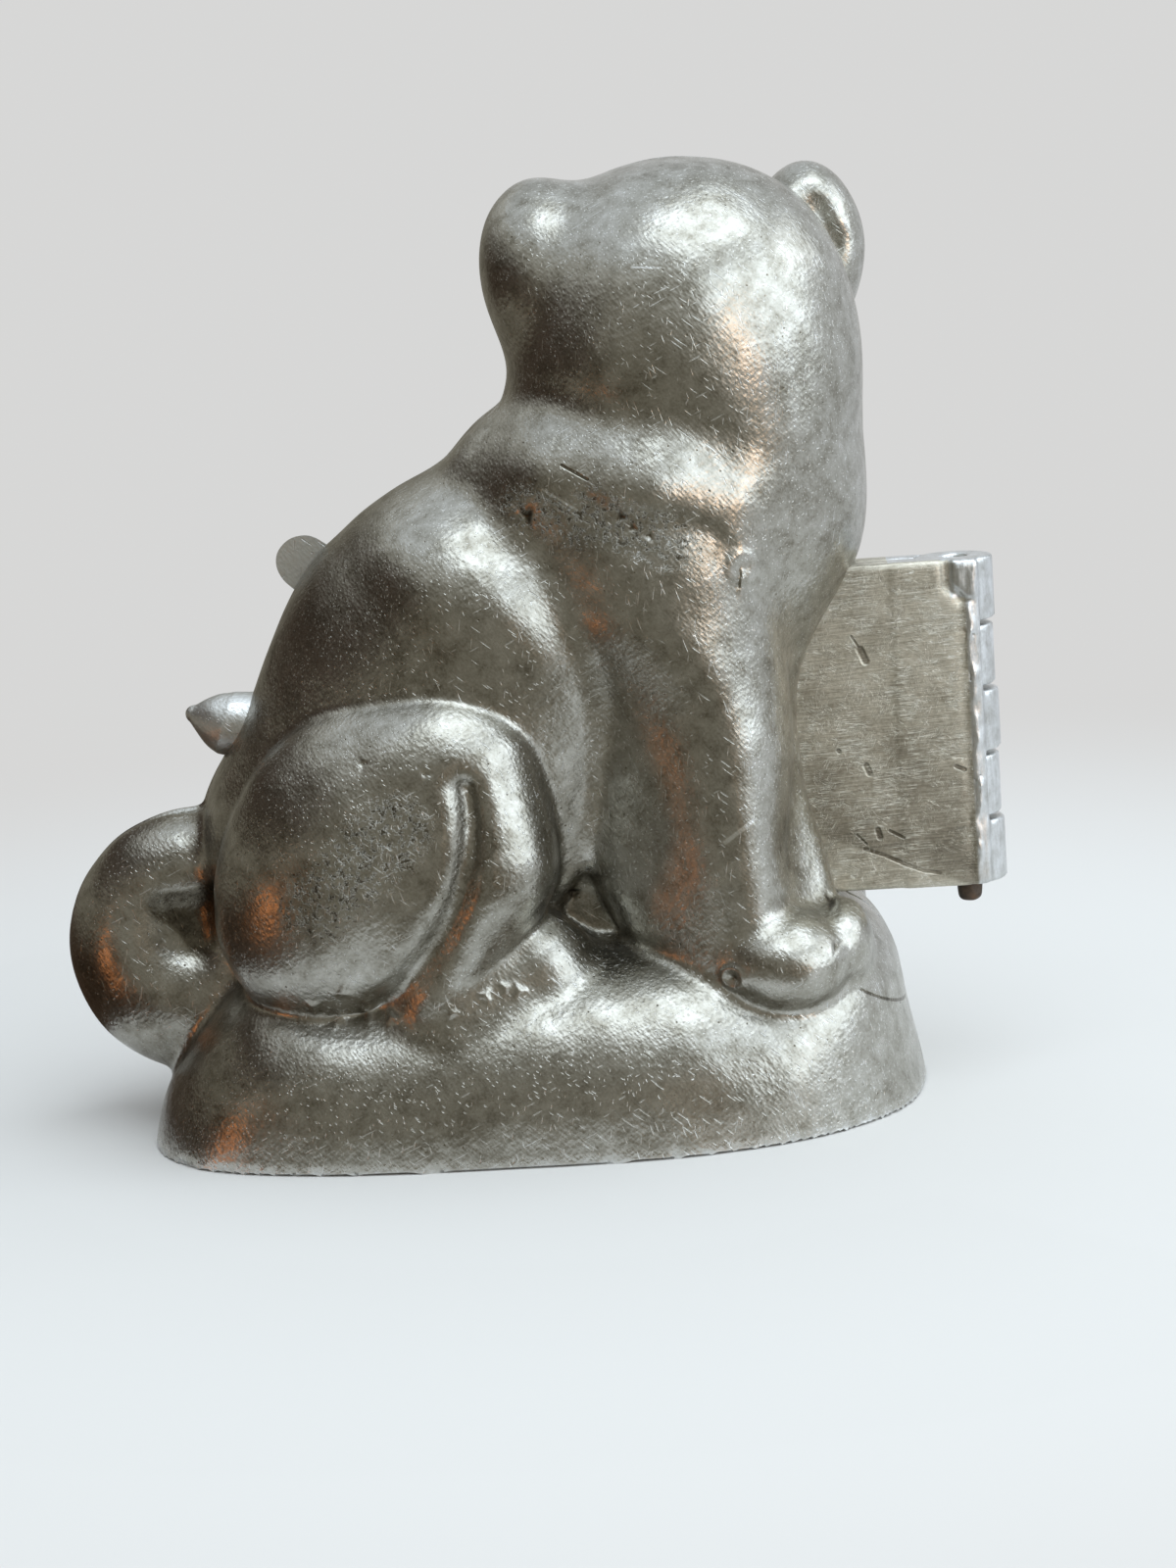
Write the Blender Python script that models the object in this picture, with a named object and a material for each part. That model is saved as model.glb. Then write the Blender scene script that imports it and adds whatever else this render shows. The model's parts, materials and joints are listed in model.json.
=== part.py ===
"""Ice cream mould: a seated dog on a cushion, cast in two hollow halves that hinge on an iron pin.

Lengths are written in millimetres and become Blender's metres where a mesh is made.
X runs towards the dog's chest and the hinge, Y towards the front half, and Z up.
The halves part at Y = 0, and the mould stands on Z = 0.
"""

import itertools
import math
from typing import NamedTuple

import bmesh
import bpy
import numpy as np
from mathutils import Matrix, Vector

# Driving sizes

MM = 0.001
WALL = 3.0
PARTING_GAP = 0.3
SEAT_GAP = 0.3

HINGE_X = 44.0
PLATE_BOTTOM = 20.3
PLATE_TOP = 53.4
PLATE_ROOT_X = 22.0
SEAM_X = 37.4
BACK_PLATE_THICKNESS = 3.9
FRONT_PLATE_THICKNESS = 2.5

KNUCKLE_COUNT = 5
BACK_KNUCKLE_RADIUS = 3.85
FRONT_KNUCKLE_RADIUS = 3.5
KNUCKLE_CLEARANCE = 0.2
SAW_CUT = 0.35
HOOD_REACH = 2.2
BEAD_WIDTH = 1.1
BEAD_HEIGHT = 0.35

PIN_DIAMETER = 2.6
PIN_CLEARANCE = 0.2
PIN_BELOW = 2.4
PIN_TOP_INSET = 0.3
PIN_DOME = 0.6

CUSHION_HALF_LENGTH = 39.5
CUSHION_HALF_WIDTH = 27.0
CUSHION_MIDDLE_X = -1.0
CUSHION_HEIGHT = 19.5
CUSHION_EDGE = 9.0
CUSHION_SQUARENESS = 2.9
CUSHION_TAIL_SQUARENESS = 0.012
CUSHION_END_TAPER = 0.17
CUSHION_SIDE_TAPER = 0.12
CUSHION_CROWN_FALL = 0.010

TAIL_X = -35.5
TAIL_Z = 18.7
TAIL_RING = 7.6
TAIL_THICKNESS = 5.6

WEB_FOOT = 12.0
BELLY_WEB_THICKNESS = 3.2
BELLY_WEB_BACK = -10.0
BELLY_WEB_FRONT = 18.0
BELLY_WEB_TOP = 44.0
CHEST_WEB_THICKNESS = 4.8
CHEST_WEB_BACK = 16.0
CHEST_WEB_FRONT = 24.6
CHEST_WEB_TOP = 52.0
CHEST_WEB_CORNER = 9.0
CHEST_WEB_LEAN = 0.45
CHEST_WEB_LEAN_Z = 37.5
CHEST_WEB_FLARE = 0.028
CHEST_WEB_FLARE_Z = 35.0
CHEST_WEB_FLARE_DROP = 15.0

GROOVE_X = -4.7
GROOVE_Z = 33.5
GROOVE_BEND = 0.0285
GROOVE_TOP = 36.5
GROOVE_FOOT = 14.5
GROOVE_DEPTH = 1.9
GROOVE_SPREAD = 1.25
GROOVE_FADE_OUT = 10.0
GROOVE_FADE = 5.0

TRUNK_FILLET = 5.0
HEAD_FILLET = 4.0
FAR_EAR_FILLET = 2.0
LIMB_FILLET = 5.0
FORELEG_FILLET = 2.4
THIGH_FILLET = 1.0
PAW_FILLET = 1.5
TAIL_FILLET = 2.0
WEB_FILLET = 1.5
CHEST_WEB_FILLET = 6.0
CUSHION_FILLET = 2.0
MUZZLE_FILLET = 3.5
CHIN_FILLET = 2.0
FLEW_FILLET = 1.5
NOSE_FILLET = 1.0

SURFACE_CELL = 1.5
OUTER_SHARE = 0.06
CAVITY_SHARE = 0.045


# Forms of the dog: places are (x, distance from the parting plane, z)


class Ball(NamedTuple):
    centre: tuple
    radii: tuple
    lean: float = 0.0


class Limb(NamedTuple):
    start: tuple
    end: tuple
    start_radius: float
    end_radius: float


class Swell(NamedTuple):
    x: float
    spread: float
    height: float


def run_of_limbs(*joints):
    """Limbs from joint to joint, each joint being (x, out, z, radius)."""
    return [Limb(a[:3], b[:3], a[3], b[3]) for a, b in zip(joints, joints[1:])]


BACK_FLATNESS = 0.86
BACK = run_of_limbs((8.0, 0.0, 56.0, 17.0), (-5.5, 0.0, 43.5, 18.9), (-14.5, 0.0, 27.0, 19.8))
CHEST = Ball((17.4, 0.0, 61.0), (17.0, 15.0, 16.5))
THROAT = Limb((21.0, 0.0, 75.0), (21.1, 0.0, 62.0), 12.6, 12.6)
SKULL = Ball((18.3, 0.0, 79.5), (16.8, 17.0, 15.2))
NECK = Ball((18.0, 0.0, 73.4), (16.4, 15.8, 9.0))
DEWLAP = Ball((23.8, 0.0, 68.0), (10.0, 14.8, 10.0))
BRISKET = Limb((20.0, 0.0, 58.0), (15.4, 0.0, 38.0), 13.2, 9.0)
LEFT_EAR = Ball((4.6, -1.0, 85.0), (6.0, 9.0, 8.4))
RIGHT_EAR = Ball((31.2, 7.0, 84.5), (5.8, 6.8, 8.8))

SHOULDER = Ball((14.6, 10.0, 57.0), (11.5, 8.4, 7.4), -8.0)
UPPER_ARM = Ball((14.2, 9.6, 47.6), (10.8, 9.6, 9.4), 10.0)
RIBS = Ball((-3.0, 5.0, 52.0), (12.5, 11.8, 7.0), -38.0)
FORELEG = run_of_limbs(
    (15.6, 8.5, 47.0, 10.3), (16.0, 10.5, 37.0, 9.6), (16.6, 12.5, 27.0, 8.7), (19.6, 13.6, 18.0, 7.2)
)
FOREPAW = Ball((24.6, 15.5, 16.4), (6.6, 6.6, 5.0))
SIDE_TOE = Ball((30.6, 11.5, 17.2), (3.0, 5.5, 4.2))

THIGH = Ball((-15.0, 11.8, 28.0), (18.8, 12.2, 15.0), 50.0)
SHIN = run_of_limbs((-6.2, 13.6, 36.4, 7.9), (-3.8, 17.0, 27.5, 5.3), (-9.6, 17.8, 17.0, 4.6))
HIND_FOOT = Ball((-1.0, 17.5, 18.0), (8.8, 5.8, 4.8), 16.0)

MUZZLE = Ball((18.0, 15.6, 74.6), (9.4, 7.0, 6.8))
FLEW = Ball((4.4, 17.6, 72.4), (4.8, 5.0, 4.8))
CHIN = Ball((18.0, 15.8, 68.8), (5.0, 5.2, 3.2))
NOSE = Ball((18.0, 21.8, 78.0), (3.6, 2.2, 2.2))
EYE = Ball((7.0, 14.4, 81.0), (2.7, 2.5, 2.5))
BROW = Limb((10.4, 13.0, 84.9), (4.0, 14.4, 84.5), 1.5, 1.3)
FACE_X = 18.0

CUSHION_SWELLS = (
    Swell(33.0, 7.0, 2.0), Swell(23.0, 6.0, -1.5), Swell(-18.0, 12.0, -1.5), Swell(-41.0, 9.0, -9.5)
)


def fillet(a, b, reach):
    """The union of two solids, with a fillet where they meet."""
    overlap = np.maximum(reach - np.abs(a - b), 0.0) / reach
    return np.minimum(a, b) - overlap * overlap * reach / 4


def common(a, b, reach):
    """What two solids share, with its edge rounded."""
    return -fillet(-a, -b, reach)


def ball(place, form):
    """Distance to an ellipsoid, leaned in the X-Z plane."""
    x, y, z = (place[i] - form.centre[i] for i in range(3))
    lean = math.radians(form.lean)
    along = x * math.cos(lean) + z * math.sin(lean)
    across = z * math.cos(lean) - x * math.sin(lean)
    a, b, c = form.radii
    depth = np.sqrt((along / a) ** 2 + (y / b) ** 2 + (across / c) ** 2)
    slope = np.sqrt((along / a**2) ** 2 + (y / b**2) ** 2 + (across / c**2) ** 2)
    return depth * (depth - 1.0) / np.maximum(slope, 1e-9)


def limb(place, form):
    """Distance to a round limb that tapers from start to end."""
    run = [form.end[i] - form.start[i] for i in range(3)]
    offset = [place[i] - form.start[i] for i in range(3)]
    length_squared = sum(r * r for r in run)
    share = np.clip(sum(o * r for o, r in zip(offset, run)) / length_squared, 0.0, 1.0)
    away = np.sqrt(sum((o - share * r) ** 2 for o, r in zip(offset, run)))
    return away - form.start_radius - (form.end_radius - form.start_radius) * share


def limbs(place, forms, reach):
    together = limb(place, forms[0])
    for form in forms[1:]:
        together = fillet(together, limb(place, form), reach)
    return together


def to_seam(place, depth):
    """The place as a form sees it that stands at this depth and reaches in to the parting plane."""
    x, out, z = place
    return x, np.maximum(out, depth), z


def ball_to_seam(place, form):
    return ball(to_seam(place, form.centre[1]), form)


def limbs_to_seam(place, forms, reach):
    together = limb(to_seam(place, forms[0].start[1]), forms[0])
    for form in forms[1:]:
        together = fillet(together, limb(to_seam(place, form.start[1]), form), reach)
    return together


def swell(x, form):
    return form.height * np.exp(-(((x - form.x) / form.spread) ** 2))


def cushion(place):
    """A plump cushion with a flat underside, lower at its tail end and pressed in under the dog."""
    x, out, z = place
    rise = np.maximum(z, 0.0)
    squareness = CUSHION_SQUARENESS - CUSHION_TAIL_SQUARENESS * x
    along = (x - CUSHION_MIDDLE_X) / (CUSHION_HALF_LENGTH - CUSHION_END_TAPER * rise)
    across = out / (CUSHION_HALF_WIDTH - CUSHION_SIDE_TAPER * rise)
    plan = (np.abs(along) ** squareness + np.abs(across) ** squareness) ** (1 / squareness)
    side = (plan - 1.0) * CUSHION_HALF_WIDTH
    crown = CUSHION_HEIGHT - CUSHION_CROWN_FALL * out**2
    for form in CUSHION_SWELLS:
        crown = crown + swell(x, form)
    return common(side, z - crown, CUSHION_EDGE)


def webs(place):
    """The flat metal that closes the gaps between belly, forelegs and cushion, and inside the tail."""
    x, out, z = place
    lean = CHEST_WEB_LEAN * np.maximum(z - CHEST_WEB_LEAN_Z, 0)
    flare = CHEST_WEB_FLARE * np.clip(CHEST_WEB_FLARE_Z - z, 0, CHEST_WEB_FLARE_DROP) ** 2
    corner = common(x - CHEST_WEB_FRONT - lean - flare, z - CHEST_WEB_TOP, CHEST_WEB_CORNER)
    chest_web = np.maximum(np.maximum(out - CHEST_WEB_THICKNESS, CHEST_WEB_BACK - x), corner)
    belly_span = np.maximum(x - BELLY_WEB_FRONT, BELLY_WEB_BACK - x)
    belly_web = np.maximum(np.maximum(out - BELLY_WEB_THICKNESS, z - BELLY_WEB_TOP), belly_span)
    tail_disc = np.hypot(x - TAIL_X, z - TAIL_Z) - TAIL_RING
    tail_web = np.maximum(tail_disc, out - BELLY_WEB_THICKNESS)
    return np.maximum(chest_web, WEB_FOOT - z), np.maximum(belly_web, WEB_FOOT - z), tail_web


def thigh_groove(x, out, z):
    """How deep the curved groove between thigh and shin is at a place."""
    line = GROOVE_X - GROOVE_BEND * (z - GROOVE_Z) ** 2
    slant = np.sqrt(1 + (2 * GROOVE_BEND * (z - GROOVE_Z)) ** 2)
    beyond = np.maximum(z - GROOVE_TOP, 0) + np.maximum(GROOVE_FOOT - z, 0)
    away = np.hypot((x - line) / slant, beyond)
    fade = np.clip((out - GROOVE_FADE_OUT) / GROOVE_FADE, 0, 1)
    return swell(away, Swell(0.0, GROOVE_SPREAD, GROOVE_DEPTH)) * fade


def face(place, head):
    """A calm, short-nosed dog's face, on the side of the head that looks out of the front half."""
    mirrored = (np.abs(place[0] - FACE_X), place[1], place[2])
    head = fillet(head, ball(place, MUZZLE), MUZZLE_FILLET)
    head = fillet(head, ball(place, CHIN), CHIN_FILLET)
    head = fillet(head, ball(mirrored, FLEW), FLEW_FILLET)
    head = fillet(head, ball(place, NOSE), NOSE_FILLET)
    head = fillet(head, ball(mirrored, EYE), NOSE_FILLET)
    return fillet(head, limb(mirrored, BROW), CHIN_FILLET)


def figure(x, y, z):
    """Signed distance to the outside of the closed mould, without plates and lugs."""
    out = np.abs(y)
    either = (x, out, z)
    place = (x, y, z)
    chest_web, belly_web, tail_web = webs(either)

    body = limbs((x, out / BACK_FLATNESS, z), BACK, TRUNK_FILLET) * BACK_FLATNESS
    body = fillet(body, ball(either, CHEST), TRUNK_FILLET)
    body = fillet(body, limb(either, THROAT), TRUNK_FILLET)
    body = fillet(body, ball(either, DEWLAP), TRUNK_FILLET)
    head = fillet(ball(place, SKULL), ball(place, NECK), TRUNK_FILLET)
    body = fillet(body, head, HEAD_FILLET)
    body = fillet(body, ball(place, LEFT_EAR), HEAD_FILLET)
    body = fillet(body, ball(place, RIGHT_EAR), FAR_EAR_FILLET)
    body = face(place, body)

    body = fillet(body, ball_to_seam(either, RIBS), TRUNK_FILLET)
    body = fillet(body, limb(either, BRISKET), TRUNK_FILLET)
    foreleg = limbs_to_seam(either, FORELEG, LIMB_FILLET)
    foreleg = fillet(foreleg, ball_to_seam(either, UPPER_ARM), LIMB_FILLET)
    foreleg = fillet(foreleg, ball_to_seam(either, SHOULDER), LIMB_FILLET)
    body = fillet(body, foreleg, FORELEG_FILLET)
    body = fillet(body, belly_web, WEB_FILLET)
    body = fillet(body, chest_web, CHEST_WEB_FILLET)

    shin = limbs_to_seam(either, SHIN, LIMB_FILLET)
    thigh = fillet(ball_to_seam(either, THIGH), shin, LIMB_FILLET)
    body = fillet(body, thigh, THIGH_FILLET)
    body = fillet(body, ball_to_seam(either, HIND_FOOT), THIGH_FILLET)
    body = body + thigh_groove(x, out, z)
    paw = fillet(ball_to_seam(either, FOREPAW), ball(either, SIDE_TOE), PAW_FILLET)
    body = fillet(body, paw, PAW_FILLET)

    tail = np.hypot(np.hypot(x - TAIL_X, z - TAIL_Z) - TAIL_RING, out) - TAIL_THICKNESS
    body = fillet(body, tail, TAIL_FILLET)
    body = fillet(body, tail_web, WEB_FILLET)
    return fillet(body, cushion(either), CUSHION_FILLET)


# Meshes


REACH_LOW = (-56.0, -34.5, -4.0)
REACH_HIGH = (50.0, 34.5, 102.0)
LEAST_SHARE = 0.1
ROOM_REACH = 80.0


def crossed_tetrahedra(value):
    """Grid cells cut into six tetrahedra each, as corner numbers: those that the surface crosses."""
    number = np.arange(value.size).reshape(value.shape)
    found = []
    for order in itertools.permutations(range(3)):
        step = [0, 0, 0]
        corners = [number[:-1, :-1, :-1].ravel()]
        for axis in order:
            step[axis] = 1
            window = tuple(slice(s, size - 1 + s) for s, size in zip(step, value.shape))
            corners.append(number[window].ravel())
        tetrahedra = np.stack(corners, axis=1)
        inside = value.ravel()[tetrahedra] < 0
        found.append(tetrahedra[inside.any(axis=1) & ~inside.all(axis=1)])
    return np.concatenate(found)


def surface_faces(value):
    """Faces of the surface, each corner a pair of grid points that the surface passes between."""
    tetrahedra = crossed_tetrahedra(value)
    inside = value.ravel()[tetrahedra] < 0
    a, b, c, d = np.take_along_axis(tetrahedra, np.argsort(~inside, axis=1, kind="stable"), axis=1).T
    held = inside.sum(axis=1)
    corner_pairs = {
        1: ((a, b), (a, c), (a, d)),
        2: ((a, c), (a, d), (b, d), (b, c)),
        3: ((d, a), (d, b), (d, c)),
    }
    faces = []
    for count, pairs in corner_pairs.items():
        here = held == count
        faces.append(np.stack([np.sort(np.stack(pair, axis=1)[here], axis=1) for pair in pairs], axis=1))
    return faces


def surface_mesh(name, field):
    """Closed mesh of the places where the field is nought."""
    counts = [round((high - low) / SURFACE_CELL) + 1 for low, high in zip(REACH_LOW, REACH_HIGH)]
    axes = [low + SURFACE_CELL * np.arange(n) for low, n in zip(REACH_LOW, counts)]
    grid = np.stack(np.meshgrid(*axes, indexing="ij"), axis=-1)
    value = field(grid[..., 0], grid[..., 1], grid[..., 2])
    faces = surface_faces(value)
    pairs = np.concatenate([f.reshape(-1, 2) for f in faces])
    ends, corner = np.unique(pairs, axis=0, return_inverse=True)
    at_ends = value.ravel()[ends]
    share = np.clip(at_ends[:, 0] / (at_ends[:, 0] - at_ends[:, 1]), LEAST_SHARE, 1 - LEAST_SHARE)[:, None]
    places = grid.reshape(-1, 3)
    points = places[ends[:, 0]] * (1 - share) + places[ends[:, 1]] * share
    corner = corner.reshape(-1)
    polygons = []
    used = 0
    for group in faces:
        size = group.shape[0] * group.shape[1]
        polygons += corner[used : used + size].reshape(group.shape[:2]).tolist()
        used += size
    bm = bmesh.new()
    drawn = bpy.data.meshes.new(name)
    drawn.from_pydata(points.tolist(), [], polygons)
    bm.from_mesh(drawn)
    bpy.data.meshes.remove(drawn)
    return mesh_from(bm, name)


def outside(x, y, z):
    below = REACH_LOW[2] + SURFACE_CELL
    return np.maximum(figure(x, y, z), below - z)


def cavity(x, y, z):
    """The hollow, one wall inside the figure. Nothing in it is undercut: it only narrows outwards."""
    hollow = figure(x, y, z) + WALL
    middle = int(np.argmin(np.abs(y[0, :, 0])))
    for outwards in (slice(middle, None), slice(middle, None, -1)):
        hollow[:, outwards] = np.maximum.accumulate(hollow[:, outwards], axis=1)
    return np.maximum(hollow, WALL - z)


def clearance(x, y, z):
    return outside(x, y, z) - SEAT_GAP


# Objects


def clear_scene():
    for thing in list(bpy.data.objects):
        bpy.data.objects.remove(thing, do_unlink=True)


def metal(name, colour, roughness):
    material = bpy.data.materials.new(name)
    material.use_nodes = True
    shader = material.node_tree.nodes["Principled BSDF"]
    shader.inputs["Base Color"].default_value = (*colour, 1.0)
    shader.inputs["Metallic"].default_value = 1.0
    shader.inputs["Roughness"].default_value = roughness
    return material


def add_object(name, mesh):
    thing = bpy.data.objects.new(name, mesh)
    bpy.context.collection.objects.link(thing)
    return thing


def add_part(name, mesh, material, half, sharp_angle=35.0):
    """A piece of the mould in its half, smooth except at its sharp edges."""
    mesh.shade_smooth()
    mesh.set_sharp_from_angle(angle=math.radians(sharp_angle))
    if not mesh.materials:
        mesh.materials.append(material)
    part = add_object(name, mesh)
    part.parent = half
    part.location = -half.location
    return part


def add_cutter(name, mesh):
    cutter = add_object(name, mesh)
    cutter.hide_render = True
    cutter.display_type = "WIRE"
    return cutter


def add_half(name, axis_x):
    half = bpy.data.objects.new(name, None)
    half.location = (axis_x * MM, 0.0, 0.0)
    bpy.context.collection.objects.link(half)
    return half


def thin_out(part, share):
    modifier = part.modifiers.new("Decimate", "DECIMATE")
    modifier.ratio = share


def combine(part, other, operation):
    modifier = part.modifiers.new(other.name, "BOOLEAN")
    modifier.operation = operation
    modifier.solver = "EXACT"
    modifier.object = other


def mesh_from(bm, name):
    """The mesh of a bmesh that was drawn in millimetres."""
    bm.transform(Matrix.Scale(MM, 4))
    bmesh.ops.recalc_face_normals(bm, faces=bm.faces)
    mesh = bpy.data.meshes.new(name)
    bm.to_mesh(mesh)
    bm.free()
    return mesh


def box_mesh(name, low, high):
    bm = bmesh.new()
    size = Vector(high) - Vector(low)
    middle = (Vector(high) + Vector(low)) / 2
    bmesh.ops.create_cube(bm, size=1.0, matrix=Matrix.LocRotScale(middle, None, size))
    return mesh_from(bm, name)


def extruded_mesh(name, outline, bottom, top):
    """A prism of an outline in the X-Y plane."""
    bm = bmesh.new()
    base = bm.faces.new([bm.verts.new((x, y, bottom)) for x, y in outline])
    raised = bmesh.ops.extrude_face_region(bm, geom=[base])["geom"]
    bmesh.ops.translate(bm, vec=(0, 0, top - bottom), verts=[v for v in raised if isinstance(v, bmesh.types.BMVert)])
    return mesh_from(bm, name)


def rods_mesh(name, radius, spans):
    """Upright rods on the hinge's axis, one for each span of height."""
    bm = bmesh.new()
    for bottom, top in spans:
        place = Matrix.Translation((HINGE_X, 0.0, (bottom + top) / 2))
        bmesh.ops.create_cone(
            bm, cap_ends=True, segments=40, radius1=radius, radius2=radius, depth=top - bottom, matrix=place
        )
    return mesh_from(bm, name)


def half_space(name, side):
    """The room of one half: everything above the floor on its side of the parting plane."""
    low_y, high_y = sorted((side * PARTING_GAP / 2, side * ROOM_REACH))
    return add_cutter(name, box_mesh(name, (-ROOM_REACH, low_y, 0.0), (ROOM_REACH, high_y, 2 * ROOM_REACH)))


# The hinge's rows of knuckles

PITCH = (PLATE_TOP - PLATE_BOTTOM) / KNUCKLE_COUNT


def rows(first, grow):
    """Heights of every second knuckle from the first, each end moved by grow."""
    starts = [PLATE_BOTTOM + PITCH * i for i in range(first, KNUCKLE_COUNT, 2)]
    return [(start - grow, start + PITCH + grow) for start in starts]


def back_strip_outline():
    """The back leaf's edge from above: it hoods the pin and carries a raised bead."""
    inner = -PARTING_GAP / 2
    face_y = inner - BACK_PLATE_THICKNESS
    tip = HINGE_X + HOOD_REACH
    bead = tip - BEAD_WIDTH
    return [
        (SEAM_X, inner),
        (HINGE_X, inner),
        (tip, face_y / 2),
        (tip, face_y),
        (tip - BEAD_WIDTH / 3, face_y - BEAD_HEIGHT),
        (bead, face_y - BEAD_HEIGHT),
        (bead - BEAD_HEIGHT, face_y),
        (SEAM_X, face_y),
    ]


def front_strip_outline():
    inner = PARTING_GAP / 2
    face_y = inner + FRONT_PLATE_THICKNESS
    return [(SEAM_X, inner), (SEAM_X, face_y), (HINGE_X, face_y), (HINGE_X, inner)]


def build_strip(name, outline, own, other, material, half):
    """Knuckles of one leaf: own and other are (first row, knuckle radius) of the two leaves."""
    strip = add_part(name, extruded_mesh(name, outline, PLATE_BOTTOM, PLATE_TOP), material, half)
    pockets = rods_mesh(name + "_pockets", other[1] + KNUCKLE_CLEARANCE, rows(other[0], SAW_CUT / 2))
    combine(strip, add_cutter(name + "_pockets", pockets), "DIFFERENCE")
    knuckles = rods_mesh(name + "_knuckles", own[1], trimmed_rows(own[0]))
    combine(strip, add_cutter(name + "_knuckles", knuckles), "UNION")
    bore_radius = PIN_DIAMETER / 2 + PIN_CLEARANCE
    bore = rods_mesh(name + "_bore", bore_radius, [(PLATE_BOTTOM - 1, PLATE_TOP + 1)])
    combine(strip, add_cutter(name + "_bore", bore), "DIFFERENCE")
    return strip


def trimmed_rows(first):
    """Rows shortened by the saw cuts, but not at the leaf's own two ends."""
    return [
        (max(bottom, PLATE_BOTTOM), min(top, PLATE_TOP))
        for bottom, top in rows(first, -SAW_CUT / 2)
    ]


def build_plate(name, side, thickness, material, half, seat):
    inner = side * PARTING_GAP / 2
    low_y, high_y = sorted((inner, inner + side * thickness))
    low = (PLATE_ROOT_X, low_y, PLATE_BOTTOM)
    high = (SEAM_X - SEAT_GAP, high_y, PLATE_TOP)
    plate = add_part(name, box_mesh(name, low, high), material, half)
    combine(plate, seat, "DIFFERENCE")
    return plate


def build_pin(material, half):
    """An iron pin with domed ends, turned from its profile."""
    bottom, top = PLATE_BOTTOM - PIN_BELOW, PLATE_TOP - PIN_TOP_INSET
    radius = PIN_DIAMETER / 2
    profile = [(0.0, bottom), (radius - PIN_DOME, bottom), (radius, bottom + PIN_DOME)]
    profile += [(radius, top - PIN_DOME), (radius - PIN_DOME, top), (0.0, top)]
    bm = bmesh.new()
    points = [bm.verts.new((r, 0.0, z)) for r, z in profile]
    edges = [bm.edges.new(pair) for pair in zip(points, points[1:])]
    bmesh.ops.spin(
        bm, geom=points + edges, cent=(0, 0, 0), axis=(0, 0, 1), angle=math.tau, steps=32, use_merge=True
    )
    bmesh.ops.remove_doubles(bm, verts=bm.verts, dist=0.001)
    pin = add_part("hinge_pin", mesh_from(bm, "hinge_pin"), material, half)
    pin.location += Vector((HINGE_X * MM, 0.0, 0.0))
    return pin


def build_lug(name, form, side, material, half, seat):
    """Half an ellipsoid, flat on the parting plane, that stands out of the dog's back."""
    bm = bmesh.new()
    bmesh.ops.create_uvsphere(bm, u_segments=24, v_segments=16, radius=1.0)
    turn = Matrix.Rotation(math.radians(-form.lean), 4, "Y")
    place = Matrix.Translation(form.centre) @ turn @ Matrix.Diagonal((*form.radii, 1.0))
    bmesh.ops.transform(bm, matrix=place, verts=bm.verts)
    flat = Vector((0.0, side * PARTING_GAP / 2, 0.0))
    everything = list(bm.verts) + list(bm.edges) + list(bm.faces)
    cut = bmesh.ops.bisect_plane(
        bm, geom=everything, plane_co=flat, plane_no=(0.0, side, 0.0), clear_inner=True
    )
    rim = [edge for edge in cut["geom_cut"] if isinstance(edge, bmesh.types.BMEdge)]
    bmesh.ops.contextual_create(bm, geom=rim)
    lug = add_part(name, mesh_from(bm, name), material, half)
    combine(lug, seat, "DIFFERENCE")
    return lug


BACK_LUG = Ball((-28.4, 0.0, 40.9), (6.8, 4.2, 3.5), -8.0)
FRONT_LUG = Ball((-20.6, 0.0, 56.4), (3.9, 3.6, 3.3), -40.0)


def build_shell(name, mesh, side, material, half, hollow):
    shell = add_part(name, mesh, material, half, sharp_angle=50.0)
    thin_out(shell, OUTER_SHARE)
    combine(shell, half_space(name + "_room", side), "INTERSECT")
    combine(shell, hollow, "DIFFERENCE")
    return shell


def build_mould():
    clear_scene()
    pewter = metal("worn_pewter", (0.42, 0.41, 0.38), 0.32)
    filed = metal("filed_pewter", (0.50, 0.47, 0.41), 0.5)
    cast = metal("cast_knuckle_pewter", (0.46, 0.44, 0.40), 0.42)
    iron = metal("dark_iron", (0.13, 0.11, 0.10), 0.55)

    back_half = add_half("back_half", 0.0)
    front_half = add_half("front_half", HINGE_X)

    dog = surface_mesh("dog", outside)
    hollow = add_cutter("hollow", surface_mesh("hollow", cavity))
    thin_out(hollow, CAVITY_SHARE)
    seat = add_cutter("seat", surface_mesh("seat", clearance))
    thin_out(seat, OUTER_SHARE)

    build_shell("back_shell", dog, -1, pewter, back_half, hollow)
    build_shell("front_shell", dog, 1, pewter, front_half, hollow)

    build_plate("back_hinge_plate", -1, BACK_PLATE_THICKNESS, filed, back_half, seat)
    build_plate("front_hinge_plate", 1, FRONT_PLATE_THICKNESS, filed, front_half, seat)

    back_row, front_row = (0, BACK_KNUCKLE_RADIUS), (1, FRONT_KNUCKLE_RADIUS)
    build_strip("back_knuckle_strip", back_strip_outline(), back_row, front_row, cast, back_half)
    build_strip("front_knuckle_strip", front_strip_outline(), front_row, back_row, cast, front_half)
    build_pin(iron, back_half)

    build_lug("back_pry_lug", BACK_LUG, -1, pewter, back_half, seat)
    build_lug("front_pry_lug", FRONT_LUG, 1, pewter, front_half, seat)


build_mould()
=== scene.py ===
"""Looks of an ice cream mould: a seated dog on a cushion, cast in two pewter halves with a hinge.

Lengths are written in millimetres and become Blender's metres where a mesh is made.
X runs towards the dog's chest and the hinge, Y towards the front half, and Z up.
The halves part at Y = 0, and the camera looks at the back half.
"""

import json
import math
from typing import NamedTuple

import bmesh
import bpy
import numpy as np
from mathutils import Matrix, Vector


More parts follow.
